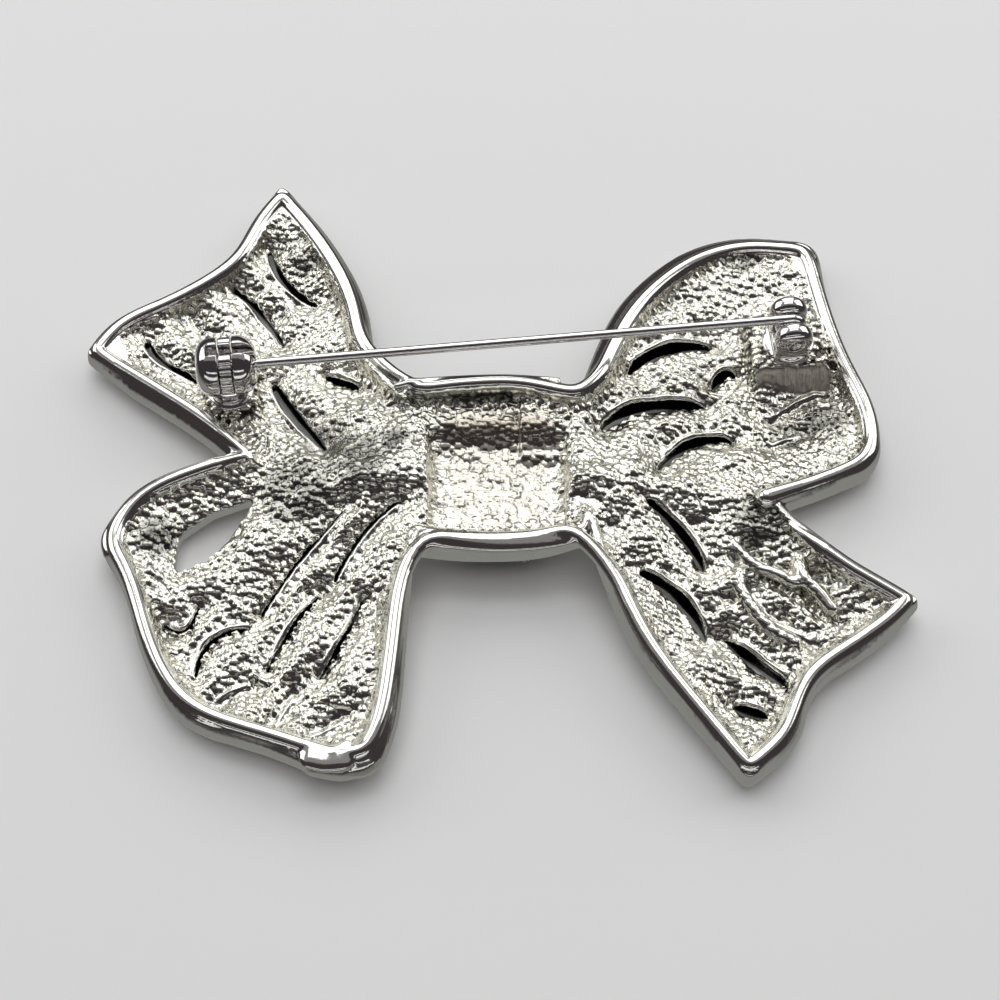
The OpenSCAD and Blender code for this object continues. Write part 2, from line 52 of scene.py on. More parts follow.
# Sizes shared with the solids, in millimetres.
ARM_L = 32.0
ARM_W = 22.0
KNOT_W = 14.0
KNOT_L = 14.4
KNOT_H = 5.0
END_H = 3.0
PUFF = 1.2
SLOT_W = 0.8
FLOOR_T = 1.2
WEB_Z = 2.21
KNOT_FRONT = 0.92
KNOT_MID = (-0.2, 0.2)
STONE = (8.0, 12.0, 1.55)
WIRE_R = 0.36
WIRE_Z = 6.4
RIVET_R = 0.45
EYE_R = 0.86
RIVET_Z = WIRE_Z - EYE_R
TIP_PAST = 1.1
TIP_L = 4.0
HINGE_PAD_H = 3.2
CATCH_PAD_H = 2.9
BALL_R = 2.28
BALL_EDGE = 1.3

# Middle of the brooch, seen from the middle of the knot.
MIDDLE = (-0.860108, 2.46299)

# The arms, and the angle each one points at.
TAIL_A, LOOP_A, LOOP_B, TAIL_B = range(4)
ARM_TURN = (141, 213, 29, -36)

# The knot's piece of the mesh reaches this far from its middle.
KNOT_REACH = 9.5

# Places of the findings, and the way and the distance from the hinge to the catch.
CATCH_AT = (-0.65 * ARM_L, 0.256 * ARM_L)
HINGE_AT = (0.703 * ARM_L, 0.395 * ARM_L)
PIN_TURN = math.degrees(math.atan2(CATCH_AT[1] - HINGE_AT[1], CATCH_AT[0] - HINGE_AT[0]))
PIN_SPAN = math.dist(CATCH_AT, HINGE_AT)

# The rim's bead: radius, length that its ends fade over, share left at its far end.
BEAD_R = 0.60
BEAD_FADE = 3.0
BEAD_END = 0.25

# The hollow's wall: ledge beside the bead, lean for each millimetre down, room to the
# outline.
LEDGE = 0.10
WALL_LEAN = 0.28
WALL_OFF = 0.45

# As-cast grains: spacing, squared reach in spacings, height, how near the surface they are
# worked out, and the spacings after which their places repeat.
GRAIN = 0.54
GRAIN_EDGE = 0.42
GRAIN_H = 0.15
GRAIN_NEAR = 0.35
GRAIN_TILE = 32

# Spacing of the grids, steps of a rounded corner or a slot, and sides of the wire.
CASTING_PITCH = 0.11
FINDING_PITCH = 0.07
CURVE_STEPS = 10
WIRE_SIDES = 24

# Farther than any place, and farther than any blend reaches.
FAR = 1e9
BEYOND = 9.0

# Outlines of the arms: share of ARM_L along, share of ARM_W across, rounding, puff share.
# The knot's has shares of KNOT_W and KNOT_L.
TAIL_A_RIM = [
    (0.12, -0.05, 0.3, 0.3), (0.33, -0.04, 0.6, 0.3), (0.46, -0.09, 0.9, 0.4),
    (0.60, -0.29, 1.0, 0.4), (0.80, -0.43, 1.0, 0.4), (1.01, -0.52, 0.3, 0.3),
    (0.99, -0.31, 0.9, 0.1), (0.94, -0.14, 1.0, 0.1), (0.98, 0.10, 1.0, 0.1),
    (1.05, 0.32, 1.0, 0.1), (1.03, 0.50, 0.3, 0.1), (0.88, 0.49, 0.8, 0.4), (0.66, 0.48, 0.8, 0.4),
    (0.50, 0.50, 0.5, 0.4), (0.34, 0.58, 0.4, 0.3), (0.12, 0.30, 0.3, 0.3),
]
LOOP_A_RIM = [
    (0.12, -0.30, 0.3, 0.3), (0.30, -0.60, 0.4, 0.3), (0.44, -0.57, 0.5, 0.1),
    (0.71, -0.68, 0.9, 0.1), (0.87, -0.56, 0.9, 0.1), (0.87, -0.36, 0.8, 0.1),
    (0.93, -0.06, 1.0, 0.1), (0.93, 0.19, 1.0, 0.3), (0.80, 0.42, 1.0, 0.3),
    (0.71, 0.60, 0.7, 0.6), (0.63, 0.66, 0.8, 0.6), (0.54, 0.57, 1.0, 0.5), (0.41, 0.33, 1.0, 0.3),
    (0.28, 0.08, 0.6, 0.2), (0.12, -0.05, 0.3, 0.3),
]
LOOP_B_RIM = [
    (0.12, -0.12, 0.3, 0.3), (0.34, -0.60, 0.4, 0.3), (0.48, -0.53, 0.5, 0.3),
    (0.66, -0.56, 0.9, 0.2), (0.82, -0.57, 0.9, 0.1), (0.90, -0.37, 1.0, 0.1),
    (0.92, -0.13, 1.0, 0.1), (0.97, 0.10, 1.0, 0.1), (1.04, 0.36, 0.5, 0.5),
    (0.89, 0.50, 0.9, 0.8), (0.73, 0.53, 1.0, 0.9), (0.52, 0.43, 1.0, 0.8), (0.36, 0.24, 0.8, 0.6),
    (0.28, 0.13, 0.5, 0.5), (0.12, 0.02, 0.3, 0.3),
]
TAIL_B_RIM = [
    (0.12, 0.05, 0.3, 0.3), (0.23, 0.04, 0.5, 0.4), (0.36, -0.12, 0.9, 0.2),
    (0.52, -0.27, 1.0, 0.2), (0.72, -0.36, 1.0, 0.2), (0.89, -0.44, 0.3, 0.1),
    (0.92, -0.23, 0.8, 0.3), (0.87, -0.02, 1.0, 0.3), (0.92, 0.18, 1.0, 0.3),
    (0.95, 0.33, 1.0, 0.2), (0.96, 0.46, 0.3, 0.1), (0.79, 0.44, 0.6, 0.3), (0.59, 0.46, 0.5, 0.5),
    (0.36, 0.60, 0.4, 0.3), (0.12, 0.25, 0.3, 0.3),
]
KNOT_RIM = [
    (-0.50, -0.42, 0.4, 0.3), (-0.20, -0.47, 0.9, 0.3), (0.20, -0.46, 0.9, 0.3),
    (0.47, -0.36, 0.5, 0.3), (0.50, 0.10, 0.6, 0.3), (0.52, 0.58, 0.4, 0.3),
    (0.38, 0.54, 0.8, 0.4), (0.10, 0.62, 0.9, 0.4), (-0.30, 0.59, 0.9, 0.4),
    (-0.55, 0.55, 0.4, 0.3), (-0.50, 0.05, 0.6, 0.3),
]
RIMS = (
    (TAIL_A_RIM, TAIL_A),
    (LOOP_A_RIM, LOOP_A),
    (LOOP_B_RIM, LOOP_B),
    (TAIL_B_RIM, TAIL_B),
    (KNOT_RIM, None),
)

# The two lines of the bead: share of its radius at the start, then parts of outlines, each
# with its arm (None for the knot) and its first and last corner.
BEADS = (
    (0.25, (
        (LOOP_A_RIM, LOOP_A, 2, 12.6),
        (KNOT_RIM, None, 0.2, 2.8),
        (TAIL_B_RIM, TAIL_B, 1.8, 11.6),
    )),
    (1.25, (
        (LOOP_B_RIM, LOOP_B, 2.4, 12.4),
        (KNOT_RIM, None, 5.2, 8.8),
        (TAIL_A_RIM, TAIL_A, 2, 13),
    )),
)

# Slots and grooves of each arm: start, middle and end as a share of ARM_L and an angle off
# the arm's middle line, share of SLOT_W (0 is a groove), side of the raised lip looking
# from the start (1 left, -1 right).
PLEATS = {
    TAIL_A: (
        (0.93, -12, 0.82, -10, 0.72, -11.5, 0.8, -1), (0.90, -3, 0.80, -2.5, 0.69, 0, 0.7, -1),
        (0.94, 5, 0.89, 7, 0.85, 8, 0, -1), (0.97, 12.5, 0.92, 14.5, 0.81, 15.5, 0.8, -1),
        (0.63, 10, 0.54, 16, 0.43, 25, 1.1, -1), (0.54, 1, 0.49, 0, 0.45, -1, 0.6, 1),
    ),
    LOOP_A: (
        (0.37, -22, 0.50, -10.5, 0.64, -2, 0.3, 1), (0.24, -19, 0.34, -11, 0.46, 0.5, 0.4, 1),
        (0.50, 1, 0.60, 5, 0.71, 9, 0.35, -1), (0.44, 11, 0.53, 15.5, 0.64, 17.5, 0.35, -1),
        (0.68, 0, 0.77, -1.5, 0.85, 3, 0.4, -1), (0.76, -9, 0.81, -5.5, 0.85, -8.5, 0.35, -1),
        (0.76, 10, 0.81, 8.5, 0.86, 8.5, 0, -1), (0.71, 16, 0.77, 17, 0.81, 17.5, 0, 1),
        (0.69, 27, 0.74, 25, 0.78, 23, 0, 1),
    ),
    LOOP_B: (
        (0.46, 17.5, 0.57, 16, 0.67, 10, 1.1, 1), (0.29, 4, 0.42, 4, 0.55, -3, 1.0, 1),
        (0.38, -22, 0.48, -13.5, 0.57, -15, 0.8, 1), (0.60, 1, 0.64, 2.5, 0.67, 1.5, 0.7, 1),
        (0.68, -12, 0.78, -9.5, 0.84, -10, 0, 1), (0.66, -18.5, 0.70, -17.5, 0.75, -16.5, 0, 1),
    ),
    TAIL_B: (
        (0.35, 28, 0.45, 18, 0.52, 11, 0.8, 1), (0.40, 0.5, 0.51, 0, 0.61, -4, 1.0, 1),
        (0.65, -1.5, 0.75, -2.2, 0.82, -2.2, 0.9, 1), (0.77, -11, 0.81, -10, 0.84, -8.5, 0.8, 1),
        (0.65, 9, 0.71, 6.5, 0.84, 6.5, 0, 1), (0.77, 15.5, 0.81, 13, 0.86, 11.5, 0, 1),
        (0.60, 18, 0.68, 16, 0.74, 15.5, 0, 1),
    ),
}

# Half width of a slot at its ends, what its middle adds, share left at its foot, how far
# below the floor it starts to narrow and over what depth.
SLOT_END = 0.15
SLOT_MID = 0.4
SLOT_FOOT = 0.08
SLOT_TOP = 0.2
SLOT_FALL = 0.6

# Raised lip of a slot or groove: how far off its edge, width, height.
LIP_OFF = 0.16
LIP_W = 0.26
LIP_H = 0.36

# Rounds that the drop-shaped opening is stretched over: share of ARM_L along the lower
# loop, shares of ARM_W across it and for the radius. Then the number of rounds in all, and
# how far off a pleat its edge is taken to be.
DROP_ROUNDS = [
    (0.73, -0.34, 0.025), (0.675, -0.375, 0.07), (0.605, -0.395, 0.055), (0.52, -0.415, 0.01),
]
DROP_STEPS = 40
DROP_OFF = 0.6

# Floor of the hollow: height and run of the pillows beside a pleat, depth and width of the
# crease along it, lowest place, lumps. Then the front's folds along the pleats, its lumps
# and the pit's. Lumps have a height, and a length and a seed for waves.
PILLOW_H = 0.7
PILLOW_W = 1.6
CREASE_D = 0.25
CREASE_W = 0.45
LOWEST = -0.4
FLOOR_LUMPS = ((0.25, 3.6, 5), (0.07, 1.5, 8))
FRONT_FOLD = 0.3
FRONT_LUMPS = ((0.1, 5.0, 3),)
PIT_LUMPS = ((0.1, 2.6, 4),)

# Pads for the findings: place, width along the pin, length across it, spread of the foot,
# height, blend. Then how far over the front they start, and the room round the stone.
PADS = (
    (HINGE_AT, 5.9, 4.2, 1.6, HINGE_PAD_H, 0.2),
    (CATCH_AT, 3.8, 3.6, 1.1, CATCH_PAD_H, 0.8),
)
PAD_FOOT = 0.5
STONE_GAP = 0.06

# Ridges and rolls: radius, how flat, blend, places in millimetres. They are the step in the
# rim, the roll at the end of the lower loop (three), the folds in the right tail (four), the
# knot's lower edge and the lap on its upper edge.
RIDGES = [
    (0.34, 1, 0.25, (-28.4, -2.9, 2.5), (-29.3, -4.2, 2.4), (-29.4, -5.1, 2.4),
     (-29.1, -6.0, 2.3)),
    (0.95, 1, 0.40, (-13.0, -22.9, 2.0), (-11.2, -23.1, 2.0)),
    (1.00, 2.2, 0.30, (-13.1, -22.9, 3.0), (-12.2, -23.15, 3.0), (-11.2, -23.05, 3.05)),
    (0.35, 1, 0.20, (-11.9, -22.8, 3.15), (-10.7, -22.0, 3.15)),
    (0.45, 1, 0.52, (15.6, -9.3, 1.7), (16.7, -8.4, 2.0), (17.8, -7.6, 2.15)),
    (0.55, 1, 0.52, (17.4, -8.3, 2.2), (17.9, -9.6, 2.1), (18.7, -10.8, 2.0),
     (19.7, -12.2, 1.9), (21.4, -13.2, 1.8)),
    (0.45, 1, 0.52, (17.5, -5.3, 2.1), (19.0, -7.1, 2.1), (20.5, -7.6, 2.15), (21.7, -8.4, 2.1)),
    (0.55, 1, 0.52, (22.2, -6.9, 2.1), (22.3, -7.9, 2.15), (23.4, -9.05, 2.05),
     (24.3, -10.4, 1.8)),
    (0.85, 1.9, 0.30, (-6.0, -5.2, 3.9), (-4.6, -5.9, 4.4), (0.0, -6.4, 4.5),
     (4.4, -5.9, 4.4), (6.0, -4.7, 3.9)),
    (0.28, 1, 0.20, (-7.9, 7.6, 4.6), (-6.4, 8.2, 4.4), (0.0, 8.6, 4.3), (4.4, 8.3, 4.3)),
]

# Rows above with a wider blend than this are folds of the sheet, which are yellowish and
# keep a share of the grain.
SOFT_FOLD = 0.5
FOLD_GRAIN = 0.2

# Painted dark reflections: dark patches on the as-cast skin that stand in for reflected dark
# surroundings: place in millimetres, reach, share.
PAINTED_DARK_REFLECTIONS = [
    (-10.9, 1.9, 2.6, 0.8), (-13.4, 3.6, 1.8, 0.6), (-15.3, -0.8, 2.8, 0.7),
    (-25.6, -4.4, 1.6, 0.8), (-7.9, 3.1, 1.3, 0.8), (19.5, -3.2, 2.4, 0.7),
    (25.0, 6.4, 1.9, 0.8), (22.3, 5.2, 1.6, 0.6), (19.5, 21.4, 1.4, 0.6),
    (-15.6, 21.6, 1.4, 0.5),
]

# Fading of the marks beside polished metal, off the hollow's skin and down a slot, and the
# share of the grain that a lip, the pit and the hinge pad's dull face take away.
POLISH_FADE = 0.2
SKIN_FADE = 0.3
SLOT_FADE = 0.15
LIP_BARE = 0.85
PIT_BARE = 0.3
FACE_BARE = 0.75

# Colours of the as-cast metal, pairs for what the noise mixes. The two near-black crease colours
# are painted shade between the grains.
GRAIN_COLOURS = (0.72, 0.70, 0.60), (0.92, 0.91, 0.81)
GRAIN_PAINTED_SHADE = (0.09, 0.08, 0.07)
YELLOW_COLOURS = (0.30, 0.26, 0.20), (0.60, 0.54, 0.43)
YELLOW_PAINTED_SHADE = (0.05, 0.045, 0.04)
DULL_COLOURS = (0.38, 0.34, 0.29), (0.66, 0.61, 0.54)
# Painted shade in the slots and under the knot's upper edge, and painted dark reflections in
# patches: near black.
PAINTED_SHADE_AND_REFLECTION_COLOUR = (0.02, 0.018, 0.016)
STONE_COLOURS = (0.50, 0.53, 0.56, 1), (0.62, 0.64, 0.66, 1)

# Half width and radius of the catch's track for the ring, and half the mouth of both.
TRACK = (0.555, 2.4)
MOUTH = 0.46

# Pin: angles and steps of its eye, start and steps of the straight wire, and the point
# (share of TIP_L, share of WIRE_R).
EYE_ANGLES = (-210, 90)
EYE_STEPS = 46
STEM_START = 0.6
STEM_STEPS = 12
TIP = ((0.2, 0.97), (0.4, 0.88), (0.6, 0.74), (0.75, 0.6), (0.88, 0.44), (0.96, 0.3), (1.0, 0.12))

# Floor: half its width, colour. Camera: focal length and picture width in pixels, angle
# over the table, distance, place it looks at. These lengths are metres.
FLOOR_HALF = 1.5
FLOOR_COLOUR = (0.78, 0.78, 0.78, 1)
FOCAL = 2276
PICTURE_W = 1000
CAMERA_UP = math.radians(58)
CAMERA_FAR = 0.170
TARGET = (0.00086, -0.004463, 0.0035)

# Lights: name, angle round from behind the brooch, angle up, width, height, radiance,
# distance. Sky: how high up, colour.
LIGHTS = (
    ("back_low", 0, 38, 0.50, 0.42, 1.8, 0.6),
    ("back_high", 0, 70, 0.50, 0.17, 1.8, 0.6),
    ("back_fill", 0, 56, 2.0, 1.35, 0.20, 0.7),
    ("left", -62, 27, 0.42, 0.42, 1.6, 0.6),
    ("right", 62, 27, 0.42, 0.42, 1.5, 0.6),
    ("front_strip", 180, 31, 0.9, 0.05, 1.2, 0.6),
    ("front_low", 180, 8, 1.4, 0.12, 0.9, 0.6),
    ("above", 0, 89, 1.2, 1.2, 1.1, 1.3),
)
SKY = ((0.24, (0.26, 0.26, 0.25, 1)), (0.40, (0.045, 0.038, 0.04, 1)))

# Height of the front from the knot outwards: share of ARM_L, share of KNOT_H.
FRONT_RISE = [(0, 0.42), (0.25, 0.34), (0.5, 0.1), (0.75, 0), (0.9, 0.05), (1.15, 0.22)]
SIDE_RISE = 0.7
SIDE_ANGLE = 32.0

# Side wall, downwards from the rim: depth, inset, share of the puff.
WALL_DEPTH = (0.0, 0.4, 0.9, 1.5, 2.2, 2.9, 3.6, 4.5)
WALL_INSET = (0.1, 0.1, 0.05, 0.0, 0.05, 0.7, 1.6, 2.6)
WALL_SWELL = (0.0, 0.15, 0.75, 1.0, 0.85, 0.35, 0.0, 0.0)


def unit(x):
    """The number kept from 0 to 1."""
    return np.clip(x, 0, 1)


def smooth_min(a, b, k):
    """The smaller of two fields, which joins their solids with a blend k wide."""
    h = unit(0.5 + 0.5 * (b - a) / k)
    return b + (a - b) * h - k * h * (1 - h)


def smooth_max(a, b, k):
    """The larger of two fields, which keeps what both solids share."""
    return -smooth_min(-a, -b, k)


def smooth_step(x):
    """Rise from 0 to 1 with soft ends."""
    t = unit(x)
    return t * t * (3 - 2 * t)


def bump_at(x, middle, width):
    """Round rise that is 1 at the middle and fades over the width."""
    return np.exp(-(((x - middle) / width) ** 2))


def column(values):
    """Values over the plan in a shape that meets the whole grid's."""
    return values.astype(np.float32)[:, :, None]


def turned(x, y, degrees):
    a = math.radians(degrees)
    return x * math.cos(a) - y * math.sin(a), x * math.sin(a) + y * math.cos(a)


def polar(arm, share, angle):
    """Place at a share of ARM_L and an angle off an arm's middle line."""
    return np.array(turned(share * ARM_L, 0, ARM_TURN[arm] + angle))


def on_arm(arm, along, across):
    """Place at shares of ARM_L and ARM_W along and across an arm."""
    return np.array(turned(along * ARM_L, across * ARM_W, ARM_TURN[arm]))


def rim_corners(rows, arm):
    """Corners of an arm's outline, or of the knot's where arm is None."""
    if arm is None:
        return np.array([(row[0] * KNOT_W, row[1] * KNOT_L) for row in rows])
    return np.array([on_arm(arm, row[0], row[1]) for row in rows])


def moved_in(corners, inset):
    """Corners of a closed outline moved in by inset."""
    back = corners - np.roll(corners, 1, axis=0)
    ahead = np.roll(corners, -1, axis=0) - corners
    back /= np.linalg.norm(back, axis=1)[:, None]
    ahead /= np.linalg.norm(ahead, axis=1)[:, None]
    out_a = np.stack([back[:, 1], -back[:, 0]], axis=1)
    out_b = np.stack([ahead[:, 1], -ahead[:, 0]], axis=1)
    mitre = (out_a + out_b) / (1 + (out_a * out_b).sum(axis=1))[:, None]
    return corners - inset * mitre


def rounded(corners, rows):
    """Points of the outline with its corners rounded, and the puff share at each."""
    points, puffs = [], []
    for i, row in enumerate(rows):
        ahead = (i + 1) % len(rows)
        start = corners[i] + (corners[i - 1] - corners[i]) * row[2] / 2
        stop = corners[i] + (corners[ahead] - corners[i]) * row[2] / 2
        for step in range(CURVE_STEPS):
            t = (step + 0.5) / CURVE_STEPS
            a = start + (corners[i] - start) * t
            b = corners[i] + (stop - corners[i]) * t
            points.append(a + (b - a) * t)
            near = rows[i - 1][3] if t < 0.5 else rows[ahead][3]
            puffs.append(row[3] + (near - row[3]) * abs(t - 0.5) * row[2])
    return np.array(points), np.array(puffs)


def along_line(x, y, points, values=None):
    """Distance to a line of points, the value there, its share of the line and its side."""
    best = np.full(x.shape, FAR)
    value = np.zeros(x.shape)
    share = np.zeros(x.shape)
    side = np.zeros(x.shape)
    count = len(points) - 1
    for i in range(count):
        ax, ay = points[i]
        dx, dy = points[i + 1] - points[i]
        t = unit(((x - ax) * dx + (y - ay) * dy) / (dx * dx + dy * dy))
        far = np.hypot(x - ax - t * dx, y - ay - t * dy)
        closer = far < best
        best = np.where(closer, far, best)
        share = np.where(closer, (i + t) / count, share)
        side = np.where(closer, np.sign(dx * (y - ay) - dy * (x - ax)), side)
        if values is not None:
            value = np.where(closer, values[i] + (values[i + 1] - values[i]) * t, value)
    return best, value, share, side


def inside(x, y, points):
    """True where a place lies in a closed outline."""
    odd = np.zeros(x.shape, bool)
    for a, b in zip(points, np.roll(points, -1, axis=0)):
        crosses = (a[1] > y) != (b[1] > y)
        reach = (b[0] - a[0]) * (y - a[1]) / (b[1] - a[1] + 1e-12) + a[0]
        odd ^= crosses & (x < reach)
    return odd


def outline_field(x, y, corners, rows):
    """Distance to a closed rounded outline, negative inside, and the puff share there."""
    points, puffs = rounded(corners, rows)
    closed = np.vstack([points, points[:1]])
    far, puff, _, _ = along_line(x, y, closed, np.append(puffs, puffs[0]))
    return np.where(inside(x, y, points), -far, far), puff


def bead_line(runs):
    """Smooth line that a bead follows over parts of several outlines."""
    line = []
    middle = CURVE_STEPS // 2
    for rows, arm, first, last in runs:
        points, _ = rounded(moved_in(rim_corners(rows, arm), BEAD_R), rows)
        start, stop = (round(corner * CURVE_STEPS) + middle for corner in (first, last))
        line.extend(points[start : stop + 1])
    line = np.array(line)
    for _ in range(CURVE_STEPS):
        line[1:-1] = (line[:-2] + 2 * line[1:-1] + line[2:]) / 4
    return line


def quadratic(a, b, c, steps):
    """Points of the smooth curve that starts at a, passes b and ends at c."""
    t = np.linspace(0, 1, steps + 1)[:, None]
    pull = 2 * b - (a + c) / 2
    return (1 - t) ** 2 * a + 2 * t * (1 - t) * pull + t**2 * c


def rim_height(x, y):
    """Height of the rim, which falls from the knot to the arms' ends."""
    share = (np.hypot(x, y) - KNOT_W / 2) / (ARM_L - KNOT_W / 2)
    return KNOT_H + (END_H - KNOT_H) * unit(share)


def off_arms(x, y):
    """Angle between a place and the middle line of each arm."""
    angle = np.degrees(np.arctan2(y, x))
    return np.stack([abs((angle - turn + 540) % 360 - 180) for turn in ARM_TURN])


def front_height(x, y):
    """Height of the front above the table."""
    off = off_arms(x, y).min(axis=0)
    shares, heights = zip(*FRONT_RISE)
    rise = np.interp(np.hypot(x, y) / ARM_L, shares, heights) * KNOT_H
    return rise + SIDE_RISE * unit(off / SIDE_ANGLE) ** 2


def waves(x, y, length, seed):
    """Smooth uneven lumps of about that length, from -1 to 1, the same on every run."""
    rng = np.random.default_rng(seed)
    total = 0
    for _ in range(9):
        way = rng.normal(size=3)
        way *= 2 * math.pi / length / np.linalg.norm(way) * rng.uniform(0.7, 1.4)
        total = total + np.sin(way[0] * x + way[1] * y + rng.uniform(0, 6.3))
    return total / 5


def lumpy(x, y, height, lumps):
    """The height over the plan with rows of waves added to it."""
    for rise, length, seed in lumps:
        height = height + rise * waves(x, y, length, seed)
    return height


def pad_field(x, y, z, place, wide, long, slope, top_h):
    """Block with sloping sides that a finding stands on."""
    u, v = turned(x - place[0], y - place[1], -PIN_TURN)
    spread = slope * np.clip(top_h - z, 0, BEYOND) / (top_h - FLOOR_T)
    sides = smooth_max(abs(u) - wide / 2 - spread / 4, abs(v) - long / 2 - spread, 0.5)
    return smooth_max(sides, z - top_h, 0.35)


class Grid:
    """Even grid of points that a field is worked out on."""

    def __init__(self, low, high, pitch):
        self.low = np.array(low, float)
        self.pitch = pitch
        counts = np.ceil((np.array(high) - self.low) / pitch).astype(int) + 1
        self.axes = [
            (self.low[i] + pitch * np.arange(counts[i])).astype(np.float32) for i in range(3)
        ]
        self.xyz = np.ix_(*self.axes)

    def plan(self):
        """The x and y of each place of the plan."""
        return np.meshgrid(self.axes[0], self.axes[1], indexing="ij")

    def slope_at(self, values, points):
        """Slope of the grid's values at points in between."""
        half = self.pitch / 2
        slope = []
        for axis in range(3):
            step = np.zeros(3)
            step[axis] = half
            rise = self.at(values, points + step) - self.at(values, points - step)
            slope.append(rise / self.pitch)
        return np.stack(slope, axis=1)

    def at(self, values, points):
        """Values of the grid at points in between."""
        place = np.clip((points - self.low) / self.pitch, 0, None)
        place = np.minimum(place, np.array(values.shape) - 1.001)
        cell = place.astype(int)
        t = place - cell
        total = 0
        for corner in np.ndindex(2, 2, 2):
            share = np.where(corner, t, 1 - t).prod(axis=1)
            index = cell + corner
            total = total + share * values[index[:, 0], index[:, 1], index[:, 2]]
        return total


GRAIN_SHAKE = np.random.default_rng(7).uniform(
    0.04, 0.96, (GRAIN_TILE, GRAIN_TILE, GRAIN_TILE, 3)).astype(np.float32)
GRAIN_TURN = np.linalg.qr(np.random.default_rng(11).normal(size=(3, 3)))[0]


def grain_cells(points):
    """Squared distance to the nearest grain's middle, in spacings, and the way from it."""
    place = (points @ GRAIN_TURN / GRAIN).astype(np.float32)
    cell = np.floor(place).astype(np.int32)
    inner = place - cell
    best = np.full(len(points), BEYOND, np.float32)
    way = np.zeros((len(points), 3), np.float32)
    for corner in np.ndindex(3, 3, 3):
        step = np.array(corner, np.int32) - 1
        at = (cell + step) % GRAIN_TILE
        to = inner - step.astype(np.float32) - GRAIN_SHAKE[at[:, 0], at[:, 1], at[:, 2]]
        far = (to**2).sum(axis=1)
        closer = far < best
        best[closer] = far[closer]
        way[closer] = to[closer]
    return best, way @ GRAIN_TURN.T


def grained(grid, field, mask):
    """The field with its grains raised, near the surface."""
    out = field.copy()
    band = np.nonzero((abs(field) < GRAIN_NEAR) & (mask > 0.02))
    points = np.stack([grid.axes[i][band[i]] for i in range(3)], axis=1)
    best, _ = grain_cells(points)
    out[band] -= GRAIN_H * mask[band] * (1 - best / GRAIN_EDGE)
    return out


def made_piece(name, points, faces, material, body, node, slot):
    """Smooth mesh that rides on body in place of a CAD node."""
    mesh = bpy.data.meshes.new(name)
    mesh.from_pydata(points.tolist(), [], faces)
    mesh.polygons.foreach_set("use_smooth", [True] * len(mesh.polygons))
    mesh.materials.append(material)
    made = bpy.data.objects.new(name, mesh)
    bpy.context.scene.collection.objects.link(made)
    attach(made, body)
    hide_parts(node)
    return mesh


def moved_to_zero(grid, field, mask, points):
    """Points moved on to the surface, with the normals and the share of painted shade in the
    creases between grains.
    """
    def value_and_slope():
        value = grid.at(field, points)
        slope = grid.slope_at(field, points)
        if mask is None:
            return value, slope, None
        best, way = grain_cells(points)
        share = GRAIN_H * grid.at(mask, points)
        value = value - share * (1 - best / GRAIN_EDGE)
        slope = slope + (share * 2 / GRAIN_EDGE / GRAIN)[:, None] * way
        # Painted shade: the colour darkens away from a grain's middle, in the creases between
        # grains.
        painted_crease_shade = unit(1.6 * best / GRAIN_EDGE - 0.8)
        return value, slope, painted_crease_shade * grid.at(mask, points)

    for _ in range(2):
        off, slope, _ = value_and_slope()
        step = off / np.maximum((slope**2).sum(axis=1), 0.25)
        points = points - np.clip(step, -grid.pitch / 2, grid.pitch / 2)[:, None] * slope
    _, normals, painted_crease_shade = value_and_slope()
    normals /= np.maximum(np.linalg.norm(normals, axis=1), 1e-9)[:, None]
    return points, normals, painted_crease_shade


def surface(names, grid, field, material, body, node, slot, place,
            adaptivity=0.0, marks=None, sector=None):
    """Meshes on the zero surface of a field, riding on body in place of a CAD node.

    place turns points of the field into metres of the solids' frame, marks are named
    fields that the material reads at each point (grain also says how much the grains
    rise), and sector says which of the names a face belongs to.
    """
    marks = marks or {}
    mask = marks.get("grain")
    whole = field if mask is None else grained(grid, field, mask)
    volume = openvdb.FloatGrid(3 * grid.pitch)
    volume.copyFromArray(np.clip(whole, -3 * grid.pitch, 3 * grid.pitch).astype(np.float32))
    points, *corners = volume.convertToPolygons(isovalue=0.0, adaptivity=adaptivity)
    points = points.astype(float) * grid.pitch + grid.low
    points, normals, painted_crease_shade = moved_to_zero(grid, field, mask, points)
    world, turn = place(points)
    normals = normals @ turn.T
    values = {key: grid.at(mark, points) for key, mark in marks.items()}
    # Painted shade in the creases between grains.
    if mask is not None:
        values["painted_crease_shade"] = painted_crease_shade

    centres = [points[part].mean(axis=1) for part in corners]
    parts = [np.zeros(len(c), int) if sector is None else sector(c) for c in centres]
    for index, name in enumerate(names):
        chosen = [part[which == index] for part, which in zip(corners, parts)]
        used = np.unique(np.concatenate([part.ravel() for part in chosen]))
        renumber = np.zeros(len(points), int)
        renumber[used] = np.arange(len(used))
        faces = [face for part in chosen for face in renumber[part].tolist()]
        mesh = made_piece(name, world[used], faces, material, body, node, slot)
        for key, value in values.items():
            layer = mesh.attributes.new(key, "FLOAT", "POINT")
            layer.data.foreach_set("value", value[used].astype(np.float32))
        mesh.normals_split_custom_set_from_vertices(normals[used].tolist())


def in_plan(points):
    """Metres of points measured from the knot, and the turn of their normals."""
    return (points - np.array([*MIDDLE, 0])) * MM, np.eye(3)


def at_finding(spot):
    """The same for points measured from a finding, with +X along the pin to the catch."""
    c, s = math.cos(math.radians(PIN_TURN)), math.sin(math.radians(PIN_TURN))
    turn = np.array([[c, -s, 0], [s, c, 0], [0, 0, 1]])
    shift = np.array([spot[0] - MIDDLE[0], spot[1] - MIDDLE[1], 0])
    return lambda points: ((points @ turn.T + shift) * MM, turn)


def eased(points):
    """Line of places with its corners rounded off."""
    points = np.array(points, float)
    for _ in range(3):
        a, b = points[:-1], points[1:]
        cut = np.stack([0.75 * a + 0.25 * b, 0.25 * a + 0.75 * b], axis=1).reshape(-1, 3)
        points = np.vstack([points[:1], cut, points[-1:]])
    return points


